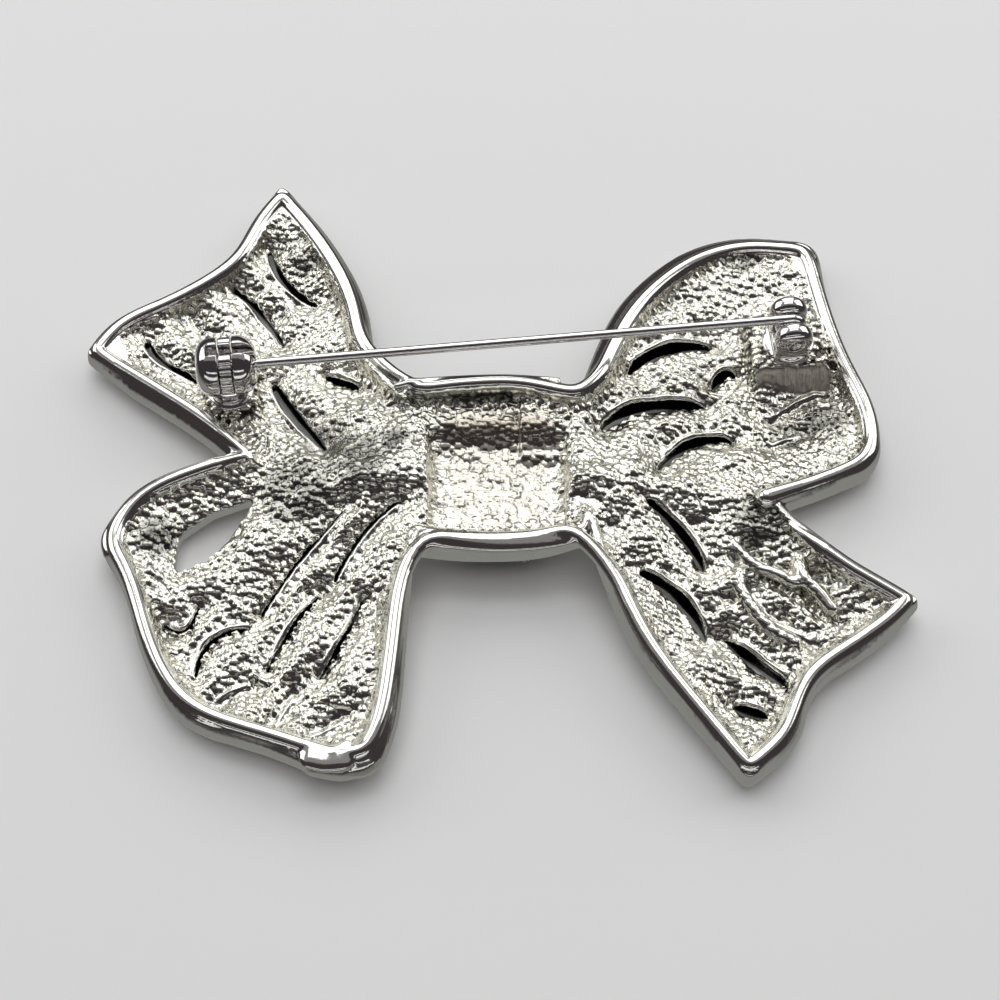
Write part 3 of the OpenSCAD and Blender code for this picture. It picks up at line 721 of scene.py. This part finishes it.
def near_line(grid, points, reach, flat=1):
    """Part of the grid round a line of places, and the distance to the line there."""
    low, high = points.min(axis=0) - reach, points.max(axis=0) + reach
    part = tuple(
        slice(*np.clip(np.searchsorted(grid.axes[i], (low[i], high[i])), 0, len(grid.axes[i])))
        for i in range(3)
    )
    x, y, z = np.meshgrid(*(grid.axes[i][part[i]] for i in range(3)), indexing="ij")
    points, z = points * (1, 1, flat), z * flat
    best = np.full(x.shape, FAR)
    for a, b in zip(points[:-1], points[1:]):
        dx, dy, dz = b - a
        along = (x - a[0]) * dx + (y - a[1]) * dy + (z - a[2]) * dz
        t = unit(along / (dx * dx + dy * dy + dz * dz))
        square = (x - a[0] - t * dx) ** 2 + (y - a[1] - t * dy) ** 2 + (z - a[2] - t * dz) ** 2
        best = np.minimum(best, np.sqrt(square))
    return part, best


def add_line(grid, field, points, radius, k, flat=1):
    """Joins a roll along a line of places to the field, flat times as wide as high."""
    part, far = near_line(grid, points, radius + 1, flat)
    field[part] = smooth_min(field[part], far - radius, k)


def pleat_half(width, share):
    """Half the width of a slot at a share of its length, and its taper there."""
    taper = np.sqrt(unit(4 * share * (1 - share)))
    return SLOT_W * width * (SLOT_END + SLOT_MID * taper), taper


def pleat_curve(arm, curve, steps):
    ends = [polar(arm, *curve[i : i + 2]) for i in (0, 2, 4)]
    return quadratic(*ends, steps)


def pleat_fields(px, py):
    """Over the plan: distance to the pleats, share of raised lip, slots, their feet."""
    near, slots, feet = (np.full(px.shape, FAR) for _ in range(3))
    lip = np.zeros(px.shape)
    for arm, *curve, width, side in ((arm, *row) for arm in PLEATS for row in PLEATS[arm]):
        far, _, share, hand = along_line(px, py, pleat_curve(arm, curve, CURVE_STEPS))
        half, taper = pleat_half(width, share)
        near = np.minimum(near, far)
        lip = np.maximum(lip, bump_at(far * hand * side, half + LIP_OFF, LIP_W) * taper)
        if width:
            slots = np.minimum(slots, far - half)
            feet = np.minimum(feet, far - SLOT_FOOT * half)
    return near, lip, slots, feet


def drop_field(px, py):
    """Over the plan: distance to the drop-shaped opening."""
    rows = np.array(DROP_ROUNDS)
    last = len(rows) - 1
    drop = np.full(px.shape, FAR)
    for along in np.linspace(0, 1, DROP_STEPS) * last:
        i = min(int(along), last - 1)
        row = rows[i] + (along - i) * (rows[i + 1] - rows[i])
        middle = on_arm(LOOP_A, row[0], row[1])
        drop = np.minimum(drop, np.hypot(px - middle[0], py - middle[1]) - row[2] * ARM_W)
    return drop


def wall_fields(px, py, depth):
    """Arms and knot inside their side walls, distance to the knot's outline, and to all."""
    tuck = np.interp(depth, WALL_DEPTH, WALL_INSET).astype(np.float32)
    swell = (PUFF * np.interp(depth, WALL_DEPTH, WALL_SWELL)).astype(np.float32)
    arms = np.full(depth.shape, BEYOND, np.float32)
    union = np.full(px.shape, BEYOND)
    for rows, arm in RIMS:
        far, puff = outline_field(px, py, rim_corners(rows, arm), rows)
        union = smooth_min(union, far, 0.8)
        far = column(far)
        side = far + tuck - swell * column(puff)
        if arm is None:
            knot, knot_far = side, far
        else:
            arms = smooth_min(arms, side, 0.3)
    return arms, knot, knot_far, column(union)


def bead_fields(px, py):
    """Distance to each line of the bead, and the bead's radius there."""
    lines = []
    for start, runs in BEADS:
        line = bead_line(runs)
        along = np.concatenate([[0], np.cumsum(np.linalg.norm(np.diff(line, axis=0), axis=1))])
        stops = (0, BEAD_FADE, along[-1] - BEAD_FADE, along[-1])
        radius = BEAD_R * np.interp(along, stops, (start, 1, 1, BEAD_END))
        far, r, _, _ = along_line(px, py, line, radius)
        lines.append((column(far), column(r)))
    return lines


def pit_fields(px, py, z, inset):
    """The pit in the knot, and over the plan its share and that of yellowish metal."""
    half, lean, rise, blend = 5.0, 0.5, 0.05, 1.0
    kx = px - KNOT_MID[0]
    back_wall = 0.95 * smooth_step((py - 2.8) / 2.6)
    front_bow = 0.012 * np.clip(2.9 - py, 0, None) ** 2
    step = 0.32 * smooth_step((kx - 1.55) / 0.35) * smooth_step((py - 1.6) / 1.2)
    pit_floor = lumpy(px, py, WEB_Z + rise + (back_wall + front_bow) + step, PIT_LUMPS)
    sides = abs(kx)[:, :, None] - half - lean * np.clip(z - WEB_Z, 0, BEYOND)
    pit = smooth_max(smooth_max(sides, inset, blend), pit_floor[:, :, None] - z, 0.5)
    top_inset = inset[:, :, 0]
    in_pit = unit(0.6 - smooth_max(abs(kx) - half, top_inset, blend) / 0.6)
    yellow = unit(0.5 - smooth_max(abs(kx) - (half - 0.4), top_inset, blend) / 1.6)
    yellow *= 0.4 + 0.45 * smooth_step((py - 3.6) / 1.2)
    return pit.astype(np.float32), in_pit, yellow


def floor_relief(px, py, near, lip):
    """Height of the hollow's floor over the sheet: pillows, creases, lumps and lips."""
    pillow = PILLOW_H * (1 - bump_at(near, 0, PILLOW_W)) - CREASE_D * bump_at(near, 0, CREASE_W)
    return np.maximum(lumpy(px, py, pillow, FLOOR_LUMPS), LOWEST) + LIP_H * lip


def seat_field(px, py, z):
    """Room for the stone in the front of the knot."""
    across = [
        abs(v - middle)[:, :, None] - size / 2 - STONE_GAP
        for v, middle, size in zip((px, py), KNOT_MID, STONE)
    ]
    seat = smooth_max(*across, 0.4)
    return smooth_max(seat, z - STONE[2] - STONE_GAP, 0.1).astype(np.float32)


def add_ridges(grid, solid, smooth):
    """Joins the ridges to the solid, takes the grain off them and returns where folds lie."""
    folds = np.zeros(solid.shape, np.float32)
    for radius, flat, k, *places in RIDGES:
        places = eased(places)
        add_line(grid, solid, places, radius, k, flat)
        part, far = near_line(grid, places, radius + 0.5, flat)
        least = FOLD_GRAIN if k > SOFT_FOLD else 0
        grain = np.clip((far - radius) / POLISH_FADE, least, 1)
        smooth[part] = np.minimum(smooth[part], grain)
        if least:
            folds[part] = np.maximum(folds[part], unit(1.2 - far / radius))
    return folds


def add_slot_beads(grid, solid, bottom):
    """Joins the small beads along the slots of the lower loop to the solid."""
    radius, blend, off, places, bare = 0.17, 0.06, 0.1, 15, 2
    for *curve, width, side in PLEATS[LOOP_A]:
        if width:
            line = pleat_curve(LOOP_A, curve, places - 1)
            ahead = np.gradient(line, axis=0)
            ahead /= np.linalg.norm(ahead, axis=1)[:, None]
            left = np.stack([-ahead[:, 1], ahead[:, 0]], axis=1)
            half, _ = pleat_half(width, np.linspace(0, 1, places))
            line = line - side * (half + off)[:, None] * left
            for spot in line[bare:-bare]:
                i, j = (int((spot[n] - grid.low[n]) / grid.pitch) for n in range(2))
                top = float(bottom[i, j, 0])
                ends = np.array([(*spot, top), (*spot, top + 0.05)])
                add_line(grid, solid, ends, radius, blend)


def painted_shadow_strip_and_reflections(px, py, z, smooth, grain):
    """Share of painted shade in a strip under the knot's upper edge, where the bead shades the
    wall, and of painted dark reflections in patches.
    """
    left, right, middle, top = -7.4, 2.2, 7.35, 4.4
    # Painted shade: a dark strip just under the knot's upper edge.
    strip = bump_at(py, middle, 0.7) * unit((right - px) / 1.5) * unit((px - left) / 1.0)
    strip = column(0.95 * strip) * smooth * unit((top - z) / 0.3)
    # Painted dark reflections: dark patches round the listed places, broken up by waves.
    painted_reflection = np.zeros(px.shape)
    for x, y, reach, share in PAINTED_DARK_REFLECTIONS:
        painted_reflection = np.maximum(painted_reflection, share * np.exp(-((np.hypot(px - x, py - y) / reach) ** 4)))
    painted_reflection *= unit(0.9 + 0.8 * waves(px, py, 1.1, 9))
    return np.maximum(strip * (z > WEB_Z), column(painted_reflection) * unit(2 * grain))


def casting_field(grid):
    """Field of the whole casting, and its marks: the share at each place of as-cast grain,
    of dull metal, of painted shade inside a slot or under the knot's upper edge or of a
    painted dark reflection in patches, and of the yellowish metal of the pit and the folds (tan)."""
    px, py = grid.plan()
    z = grid.xyz[2]
    front = front_height(px, py)
    depth = (rim_height(px, py)[:, :, None] - z).astype(np.float32)
    near, lip, slots, feet = pleat_fields(px, py)
    drop = drop_field(px, py)
    near = np.minimum(near, np.clip(drop, 0, None) + DROP_OFF)

    # The hollow: inside the beads and the walls, over its floor, and the pit in the knot.
    solid, knot, knot_far, union = wall_fields(px, py, depth)
    beads = bead_fields(px, py)
    to_bead = np.minimum(*(far - r for far, r in beads))
    lean = (LEDGE + WALL_LEAN * np.clip(depth - BEAD_R, 0, None)).astype(np.float32)
    hollow = smooth_max(union + WALL_OFF + 0 * z, lean - to_bead, 0.3)
    bottom = column(front + FLOOR_T + floor_relief(px, py, near, lip))
    hollow = smooth_max(hollow, bottom - z, 0.6)
    pit, in_pit, yellow = pit_fields(px, py, z, knot_far + 2 * BEAD_R + lean)
    hollow = smooth_min(hollow, pit, 0.35)

    # The solid: the front, the knot and the rim, less the hollow, the slots and the drop.
    fold = lumpy(px, py, FRONT_FOLD * bump_at(near, 0, 1.0), FRONT_LUMPS)
    solid = smooth_max(solid, column(front + fold) - z, 0.5)
    solid = smooth_min(solid, smooth_max(knot, KNOT_FRONT - z, 0.4), 0.3)
    solid = smooth_max(solid, BEAD_R * 0.7 - depth, 0.15)
    solid = smooth_max(solid, -hollow, 0.15)
    slots = column(slots)
    slot = slots + (column(feet) - slots) * unit((bottom - SLOT_TOP - z) / SLOT_FALL)
    solid = smooth_max(solid, -slot, 0.12)
    solid = smooth_max(solid, -column(drop), 0.2)

    # The bead and the pads. smooth is 0 on polished metal and 1 where grain may lie.
    bead = np.minimum(*(np.hypot(far, depth - BEAD_R) - r for far, r in beads))
    solid = smooth_min(solid, bead, 0.12)
    smooth = unit((bead - 0.02) / POLISH_FADE)
    for place, wide, long, foot, top_h, blend in PADS:
        pad = pad_field(px[:, :, None], py[:, :, None], z, place, wide, long, foot, top_h)
        pad = smooth_max(pad, (front + PAD_FOOT)[:, :, None] - z, 0.3).astype(np.float32)
        solid = smooth_min(solid, pad, blend)
        hollow = np.minimum(hollow, abs(pad))
        if place == HINGE_AT:
            u, v = turned(px - place[0], py - place[1], -PIN_TURN)
            face = unit((v - long / 2 + POLISH_FADE / 2) / POLISH_FADE)
            face = face * unit((wide / 2 - abs(u)) / POLISH_FADE)
            dull = unit(1.2 - pad / SKIN_FADE) * column(face)
            smooth *= 1 - FACE_BARE * dull
    folds = add_ridges(grid, solid, smooth)
    add_slot_beads(grid, solid, bottom)
    solid = smooth_max(solid, -seat_field(px, py, z), 0.05)
    solid = np.maximum(solid, -z)

    # The marks.
    grain = unit(0.6 - hollow / SKIN_FADE) * smooth
    grain *= column(1 - LIP_BARE * unit(lip * 1.4))
    grain *= column(1 - PIT_BARE * in_pit)
    # Painted shade: near black down inside the slots. The painted shade strip and the painted dark
    # reflections are joined to it.
    painted_shade_and_reflection = unit(1.4 - slot / SKIN_FADE) * unit((bottom - 0.08 - z) / SLOT_FADE)
    painted_shade_and_reflection = np.maximum(painted_shade_and_reflection * (hollow > -0.3), painted_shadow_strip_and_reflections(px, py, z, smooth, grain))
    tan = np.maximum(column(yellow) * unit(1.5 - hollow / SKIN_FADE), folds)
    return solid, {"grain": grain, "dull": dull * (hollow < 1.5), "painted_shade_and_reflection": painted_shade_and_reflection, "tan": tan}


def connect(tree, value, socket):
    """Links another node's output to a socket, or sets the socket to a plain value."""
    if isinstance(value, bpy.types.NodeSocket):
        tree.links.new(value, socket)
    else:
        socket.default_value = value


def fill(tree, node, **inputs):
    """Connects a node's inputs. In their names an underscore stands for a space."""
    for key, value in inputs.items():
        connect(tree, value, node.inputs[key.replace("_", " ")])
    return node


def new_node(tree, kind, **inputs):
    return fill(tree, tree.nodes.new(kind), **inputs)


def new_material(name):
    """Material, its node tree and its shader."""
    made = bpy.data.materials.new(name)
    made.use_nodes = True
    return made, made.node_tree, made.node_tree.nodes["Principled BSDF"]


def metal(name, colour, roughness, cast=False):
    """Plated metal with fine polishing marks. A cast one also has what the marks of its
    mesh say: as-cast grain, painted shade in the creases between grains, dull metal,
    painted shade and painted dark reflections, and yellowish metal."""
    made, tree, shader = new_material(name)
    where = tree.nodes.new("ShaderNodeTexCoord").outputs["Object"]

    def noise(scale, detail=3.0):
        node = new_node(tree, "ShaderNodeTexNoise", Vector=where, Scale=scale, Detail=detail)
        return node.outputs["Fac"]

    def ramp(source, low, high):
        node = new_node(tree, "ShaderNodeMapRange", Value=source, To_Min=low, To_Max=high)
        return node.outputs["Result"]

    def mark(key):
        node = tree.nodes.new("ShaderNodeAttribute")
        node.attribute_name = key
        return node.outputs["Fac"]

    def mix_colour(share, a, b):
        node = tree.nodes.new("ShaderNodeMix")
        node.data_type = "RGBA"
        for key, value in (("A", a), ("B", b)):
            socket = [s for s in node.inputs if s.name == key and s.type == "RGBA"][0]
            connect(tree, (*value, 1) if isinstance(value, tuple) else value, socket)
        connect(tree, share, node.inputs["Factor"])
        return [s for s in node.outputs if s.type == "RGBA"][0]

    def mix_value(share, a, b):
        return new_node(tree, "ShaderNodeMix", A=a, B=b, Factor=share).outputs["Result"]

    def bump(height, strength, distance, **below):
        node = new_node(tree, "ShaderNodeBump", Height=height, Strength=strength,
                        Distance=distance, **below)
        return node.outputs["Normal"]

    worn = tuple(c * 0.88 for c in colour)
    base = mix_colour(noise(420.0), worn, colour)
    rough = ramp(noise(900.0, 4.0), roughness * 0.7, roughness * 1.3)
    soft = bump(noise(380.0, 2.0), 0.3, 0.00012)
    normal = bump(noise(5200.0), 0.12, 0.00003, Normal=soft)
    if cast:
        grain, painted_crease_shade, dull, tan = mark("grain"), mark("painted_crease_shade"), mark("dull"), mark("tan")
        cells = new_node(tree, "ShaderNodeTexVoronoi", Vector=where, Scale=4600.0, Randomness=1.0)
        cells.feature = "SMOOTH_F1"
        cells.inputs["Smoothness"].default_value = 0.3
        dents = ramp(cells.outputs["Distance"], 1.0, 0.0)
        normal = bump(dents, mix_value(grain, 0.0, 0.12), 0.00006, Normal=normal)
        # The grain's colours, with painted shade mixed in at the creases between grains.
        pale = mix_colour(painted_crease_shade, mix_colour(noise(300.0), *GRAIN_COLOURS), GRAIN_PAINTED_SHADE)
        base = mix_colour(grain, base, pale)
        rough = mix_value(grain, rough, ramp(noise(1800.0), 0.12, 0.22))
        # Yellowish metal, with painted shade at the creases between grains.
        yellow = mix_colour(painted_crease_shade, mix_colour(noise(700.0), *YELLOW_COLOURS), YELLOW_PAINTED_SHADE)
        base = mix_colour(tan, base, yellow)
        # Painted shade and painted dark reflections: near black where the mark says.
        base = mix_colour(mark("painted_shade_and_reflection"), base, PAINTED_SHADE_AND_REFLECTION_COLOUR)
        base = mix_colour(dull, base, mix_colour(noise(1500.0, 4.0), *DULL_COLOURS))
        rough = mix_value(tan, rough, 0.24)
        rough = mix_value(dull, rough, 0.38)
        scratch = new_node(tree, "ShaderNodeMapping", Vector=where, Scale=(5200.0, 700.0, 700.0))
        files = new_node(tree, "ShaderNodeTexNoise", Vector=scratch.outputs["Vector"],
                         Scale=1.0, Detail=2.0)
        normal = bump(files.outputs["Fac"], mix_value(dull, 0.0, 0.9), 0.0001, Normal=normal)
    fill(tree, shader, Base_Color=base, Metallic=1.0, Roughness=rough, Normal=normal)
    return made


def crystal(name):
    """Clear stone with a faint uneven tint."""
    made, tree, shader = new_material(name)
    where = tree.nodes.new("ShaderNodeTexCoord").outputs["Object"]
    noise = new_node(tree, "ShaderNodeTexNoise", Vector=where, Scale=300.0, Detail=2.0)
    ramp = new_node(tree, "ShaderNodeValToRGB", Fac=noise.outputs["Fac"])
    for element, colour in zip(ramp.color_ramp.elements, STONE_COLOURS):
        element.color = colour
    fill(tree, shader, Base_Color=ramp.outputs["Color"], Roughness=0.02, IOR=1.62,
         Transmission_Weight=1.0)
    return made


cast_metal = metal("cast_metal", (0.86, 0.86, 0.82), 0.13, cast=True)
findings_metal = metal("findings_metal", (0.82, 0.80, 0.80), 0.09)
wire_metal = metal("wire_metal", (0.86, 0.85, 0.84), 0.10)
clear_stone = crystal("clear_stone")

casting_grid = Grid((-34.0, -26.5, -0.4), (32.5, 30.5, 5.6), CASTING_PITCH)
casting, casting_marks = casting_field(casting_grid)


def sector(places):
    """Which part of the bow a place is on: an arm by its number, or 4 for the knot."""
    x, y = places[:, 0], places[:, 1]
    return np.where(np.hypot(x, y) < KNOT_REACH, len(ARM_TURN), off_arms(x, y).argmin(axis=0))


surface(("tail_a_detail", "loop_a_detail", "loop_b_detail", "tail_b_detail", "knot_detail"),
        casting_grid, casting, cast_metal, "bow", "bow_casting", "cast_metal", in_plan,
        adaptivity=0.02, marks=casting_marks, sector=sector)


def box_field(x, y, z, low, high, k=0.1):
    """Field of a box between two corners, with softened edges."""
    across = [smooth_max(low[i] - v, v - high[i], 0.01) for i, v in enumerate((x, y, z))]
    return smooth_max(smooth_max(across[0], across[1], k), across[2], k)


def foot_field(grid, size, middle, k):
    """Field of a flat round foot, its size being the radius and half the height."""
    x, y, z = grid.xyz
    return smooth_max(np.hypot(x, y) - size[0], abs(z - middle) - size[1], k)


def hinge_field(grid):
    """Two round lobes on a saddle and a foot, bored for the rivet."""
    x, y, z = grid.xyz
    from_rivet = np.hypot(x, z - RIVET_Z)
    radius, thick, middle, power, size = 1.5, 0.88, 1.28, 2.6, 0.85
    out, along = from_rivet / radius, abs(abs(y) - middle) / thick
    lobe = size * ((out**power + along**power) ** (1 / power) - 1)
    saddle = box_field(x, y, z, (-1.3, -1.75, HINGE_PAD_H - 0.2), (1.3, 1.75, RIVET_Z), 0.3)
    foot = foot_field(grid, (2.05, 0.42), HINGE_PAD_H, 0.3)
    body = smooth_min(smooth_min(lobe, saddle, 0.15), foot, 0.5)
    half, under_eye = 0.52, RIVET_Z - EYE_R - WIRE_R - 0.25
    gap = box_field(x, y, z, (-3, -half, under_eye), (3, half, BEYOND), 0.15)
    bore = from_rivet - RIVET_R - 0.02 + 0 * y
    return smooth_max(smooth_max(body, -gap, 0.08), -bore, 0.03)


def catch_field(grid):
    """Two lobes of the catch ball on a pear-shaped stem, with the track and the mouth."""
    x, y, z = grid.xyz
    away = np.hypot(y, z - WIRE_Z)
    dx, dr = abs(x) - (BALL_R - BALL_EDGE), away - (BALL_R - BALL_EDGE)
    ball = np.hypot(np.maximum(dx, 0), np.maximum(dr, 0))
    ball = ball + np.minimum(np.maximum(dx, dr), 0) - BALL_EDGE
    up = unit((z - CATCH_PAD_H - 0.5) / (WIRE_Z - CATCH_PAD_H - 1.2))
    stem_r = 1.4 + 0.6 * up**1.4
    stem = smooth_max(np.hypot(x, y) - stem_r, z - WIRE_Z, 0.2)
    stem = smooth_max(stem, CATCH_PAD_H - 0.2 - z, 0.1)
    foot = foot_field(grid, (1.78, 0.3), CATCH_PAD_H, 0.25)
    body = smooth_min(smooth_min(ball, stem, 0.25), foot, 0.35)
    track = smooth_max(abs(x) - TRACK[0], away - TRACK[1], 0.03)
    body = smooth_max(body, -track, 0.12)
    hub_t, hub_r, mouth_end = 0.8, 0.96, 1.4
    body = np.minimum(body, smooth_max(abs(x) - hub_t, away - hub_r, 0.03))
    mouth = smooth_max(smooth_max(abs(y) - MOUTH, WIRE_Z - z, 0.02), x - mouth_end, 0.05)
    round_end = smooth_max(away - MOUTH, x - mouth_end, 0.05)
    return smooth_max(body, -np.minimum(mouth, round_end), 0.08)


def roller_field(grid):
    """Ribbed ring with the mouth that lets the wire in."""
    x, y, z = grid.xyz
    away = np.hypot(y, z - WIRE_Z)
    turn = np.degrees(np.arctan2(z - WIRE_Z, y)) + 0 * x
    turn = np.where(turn > 90, turn - 360, turn)
    radius, rib_h, ribs, rib_turn, bore, thick = 2.08, 0.12, 18, 215, 1.04, 0.475
    rib = 0.5 + 0.5 * np.cos(np.radians((turn + rib_turn) * ribs))
    outer = radius + rib_h * rib**0.5
    ring = smooth_max(smooth_max(away - outer, bore - away, 0.05), abs(x) - thick, 0.1)
    mouth = smooth_max(abs(y) - MOUTH, WIRE_Z - z, 0.02) + 0 * x
    return smooth_max(ring, -mouth, 0.08)


for node, build, low, high, body, spot in (
    ("hinge_base", hinge_field, (-2.6, -2.6, 2.6), (2.6, 2.6, 7.3), "bow", HINGE_AT),
    ("catch_base", catch_field, (-2.7, -2.7, 2.5), (2.7, 2.7, 9.0), "bow", CATCH_AT),
    ("catch_roller", roller_field, (-0.8, -2.4, 4.0), (0.8, 2.4, 8.8), "roller", CATCH_AT),
):
    grid = Grid(low, high, FINDING_PITCH)
    surface((node + "_detail",), grid, build(grid), findings_metal, body, node,
            "findings_metal", at_finding(spot))


def swept(path, radii, sides=WIRE_SIDES):
    """Places and faces of a closed round wire along a path in the pin's upright plane."""
    rows, faces = [], []
    for i, (x, z) in enumerate(path):
        a, b = path[max(i - 1, 0)], path[min(i + 1, len(path) - 1)]
        dx, dz = b[0] - a[0], b[1] - a[1]
        size = math.hypot(dx, dz)
        for s in range(sides):
            t = 2 * math.pi * s / sides
            out = radii[i] * math.cos(t)
            rows.append((x - dz / size * out, radii[i] * math.sin(t), z + dx / size * out))
    last = (len(path) - 1) * sides
    for start in range(0, last, sides):
        for s in range(sides):
            a, b = start + s, start + (s + 1) % sides
            faces.append((a, b, b + sides, a + sides))
    faces.append(tuple(range(sides))[::-1])
    faces.append(tuple(last + s for s in range(sides)))
    return at_finding(HINGE_AT)(np.array(rows))[0], faces


turns = np.radians(np.linspace(*EYE_ANGLES, EYE_STEPS))
path = [(-EYE_R * math.cos(a), RIVET_Z + EYE_R * math.sin(a)) for a in turns]
tip_x = PIN_SPAN + TIP_PAST - TIP_L
path += [(x, WIRE_Z) for x in np.linspace(STEM_START, tip_x, STEM_STEPS)]
radii = [WIRE_R] * len(path) + [WIRE_R * thin for _, thin in TIP]
path += [(tip_x + TIP_L * along, WIRE_Z) for along, _ in TIP]
made_piece("pin_stem_detail", *swept(path, radii), wire_metal, "pin", "pin_stem", "pin_wire")

for node, look in (("knot_stone", clear_stone), ("hinge_rivet", findings_metal)):
    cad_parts[node].data.materials.clear()
    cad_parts[node].data.materials.append(look)


def placed(name, data):
    """New object that shows the data in the scene."""
    made = bpy.data.objects.new(name, data)
    bpy.context.scene.collection.objects.link(made)
    return made


# Pale floor, which the metal doesn't mirror.
floor_mesh = bpy.data.meshes.new("floor")
corners = [(x * FLOOR_HALF, y * FLOOR_HALF, 0) for x, y in ((-1, -1), (1, -1), (1, 1), (-1, 1))]
floor_mesh.from_pydata(corners, [], [(0, 1, 2, 3)])
floor = placed("floor", floor_mesh)
floor_paint, paint_tree, shader = new_material("floor_paint")
fill(paint_tree, shader, Base_Color=FLOOR_COLOUR, Roughness=0.9)
floor_mesh.materials.append(floor_paint)
floor.visible_glossy = False

camera_data = bpy.data.cameras.new("camera")
camera_data.lens = FOCAL / PICTURE_W * camera_data.sensor_width
camera_data.clip_start = 0.005
camera = placed("camera", camera_data)
camera.location = (
    TARGET[0],
    TARGET[1] - CAMERA_FAR * math.cos(CAMERA_UP),
    TARGET[2] + CAMERA_FAR * math.sin(CAMERA_UP),
)
camera.rotation_euler = (math.pi / 2 - CAMERA_UP, 0, 0)
bpy.context.scene.camera = camera

# Soft lights that face the brooch. The metal doesn't mirror the one above.
for name, azimuth, elevation, width, height, radiance, far in LIGHTS:
    data = bpy.data.lights.new(name, "AREA")
    data.shape = "RECTANGLE"
    data.size, data.size_y = width, height
    data.energy = radiance * width * height * math.pi
    light = placed(name, data)
    a, e = math.radians(azimuth), math.radians(elevation)
    way = np.array([math.sin(a) * math.cos(e), math.cos(a) * math.cos(e), math.sin(e)])
    light.location = tuple(way * far)
    light.rotation_euler = (math.pi / 2 - e, 0, math.pi - a)
    light.visible_glossy = name != "above"

world = bpy.data.worlds.new("world")
bpy.context.scene.world = world
world.use_nodes = True
sky = world.node_tree
way = sky.nodes.new("ShaderNodeTexCoord").outputs["Generated"]
split = new_node(sky, "ShaderNodeSeparateXYZ", Vector=way)
up = new_node(sky, "ShaderNodeMapRange", Value=split.outputs["Z"], From_Min=-1.0)
fade = new_node(sky, "ShaderNodeValToRGB", Fac=up.outputs["Result"])
for element, (position, colour) in zip(fade.color_ramp.elements, SKY):
    element.position = position
    element.color = colour
sky.links.new(fade.outputs["Color"], sky.nodes["Background"].inputs["Color"])
bpy.context.scene.view_settings.view_transform = "Standard"
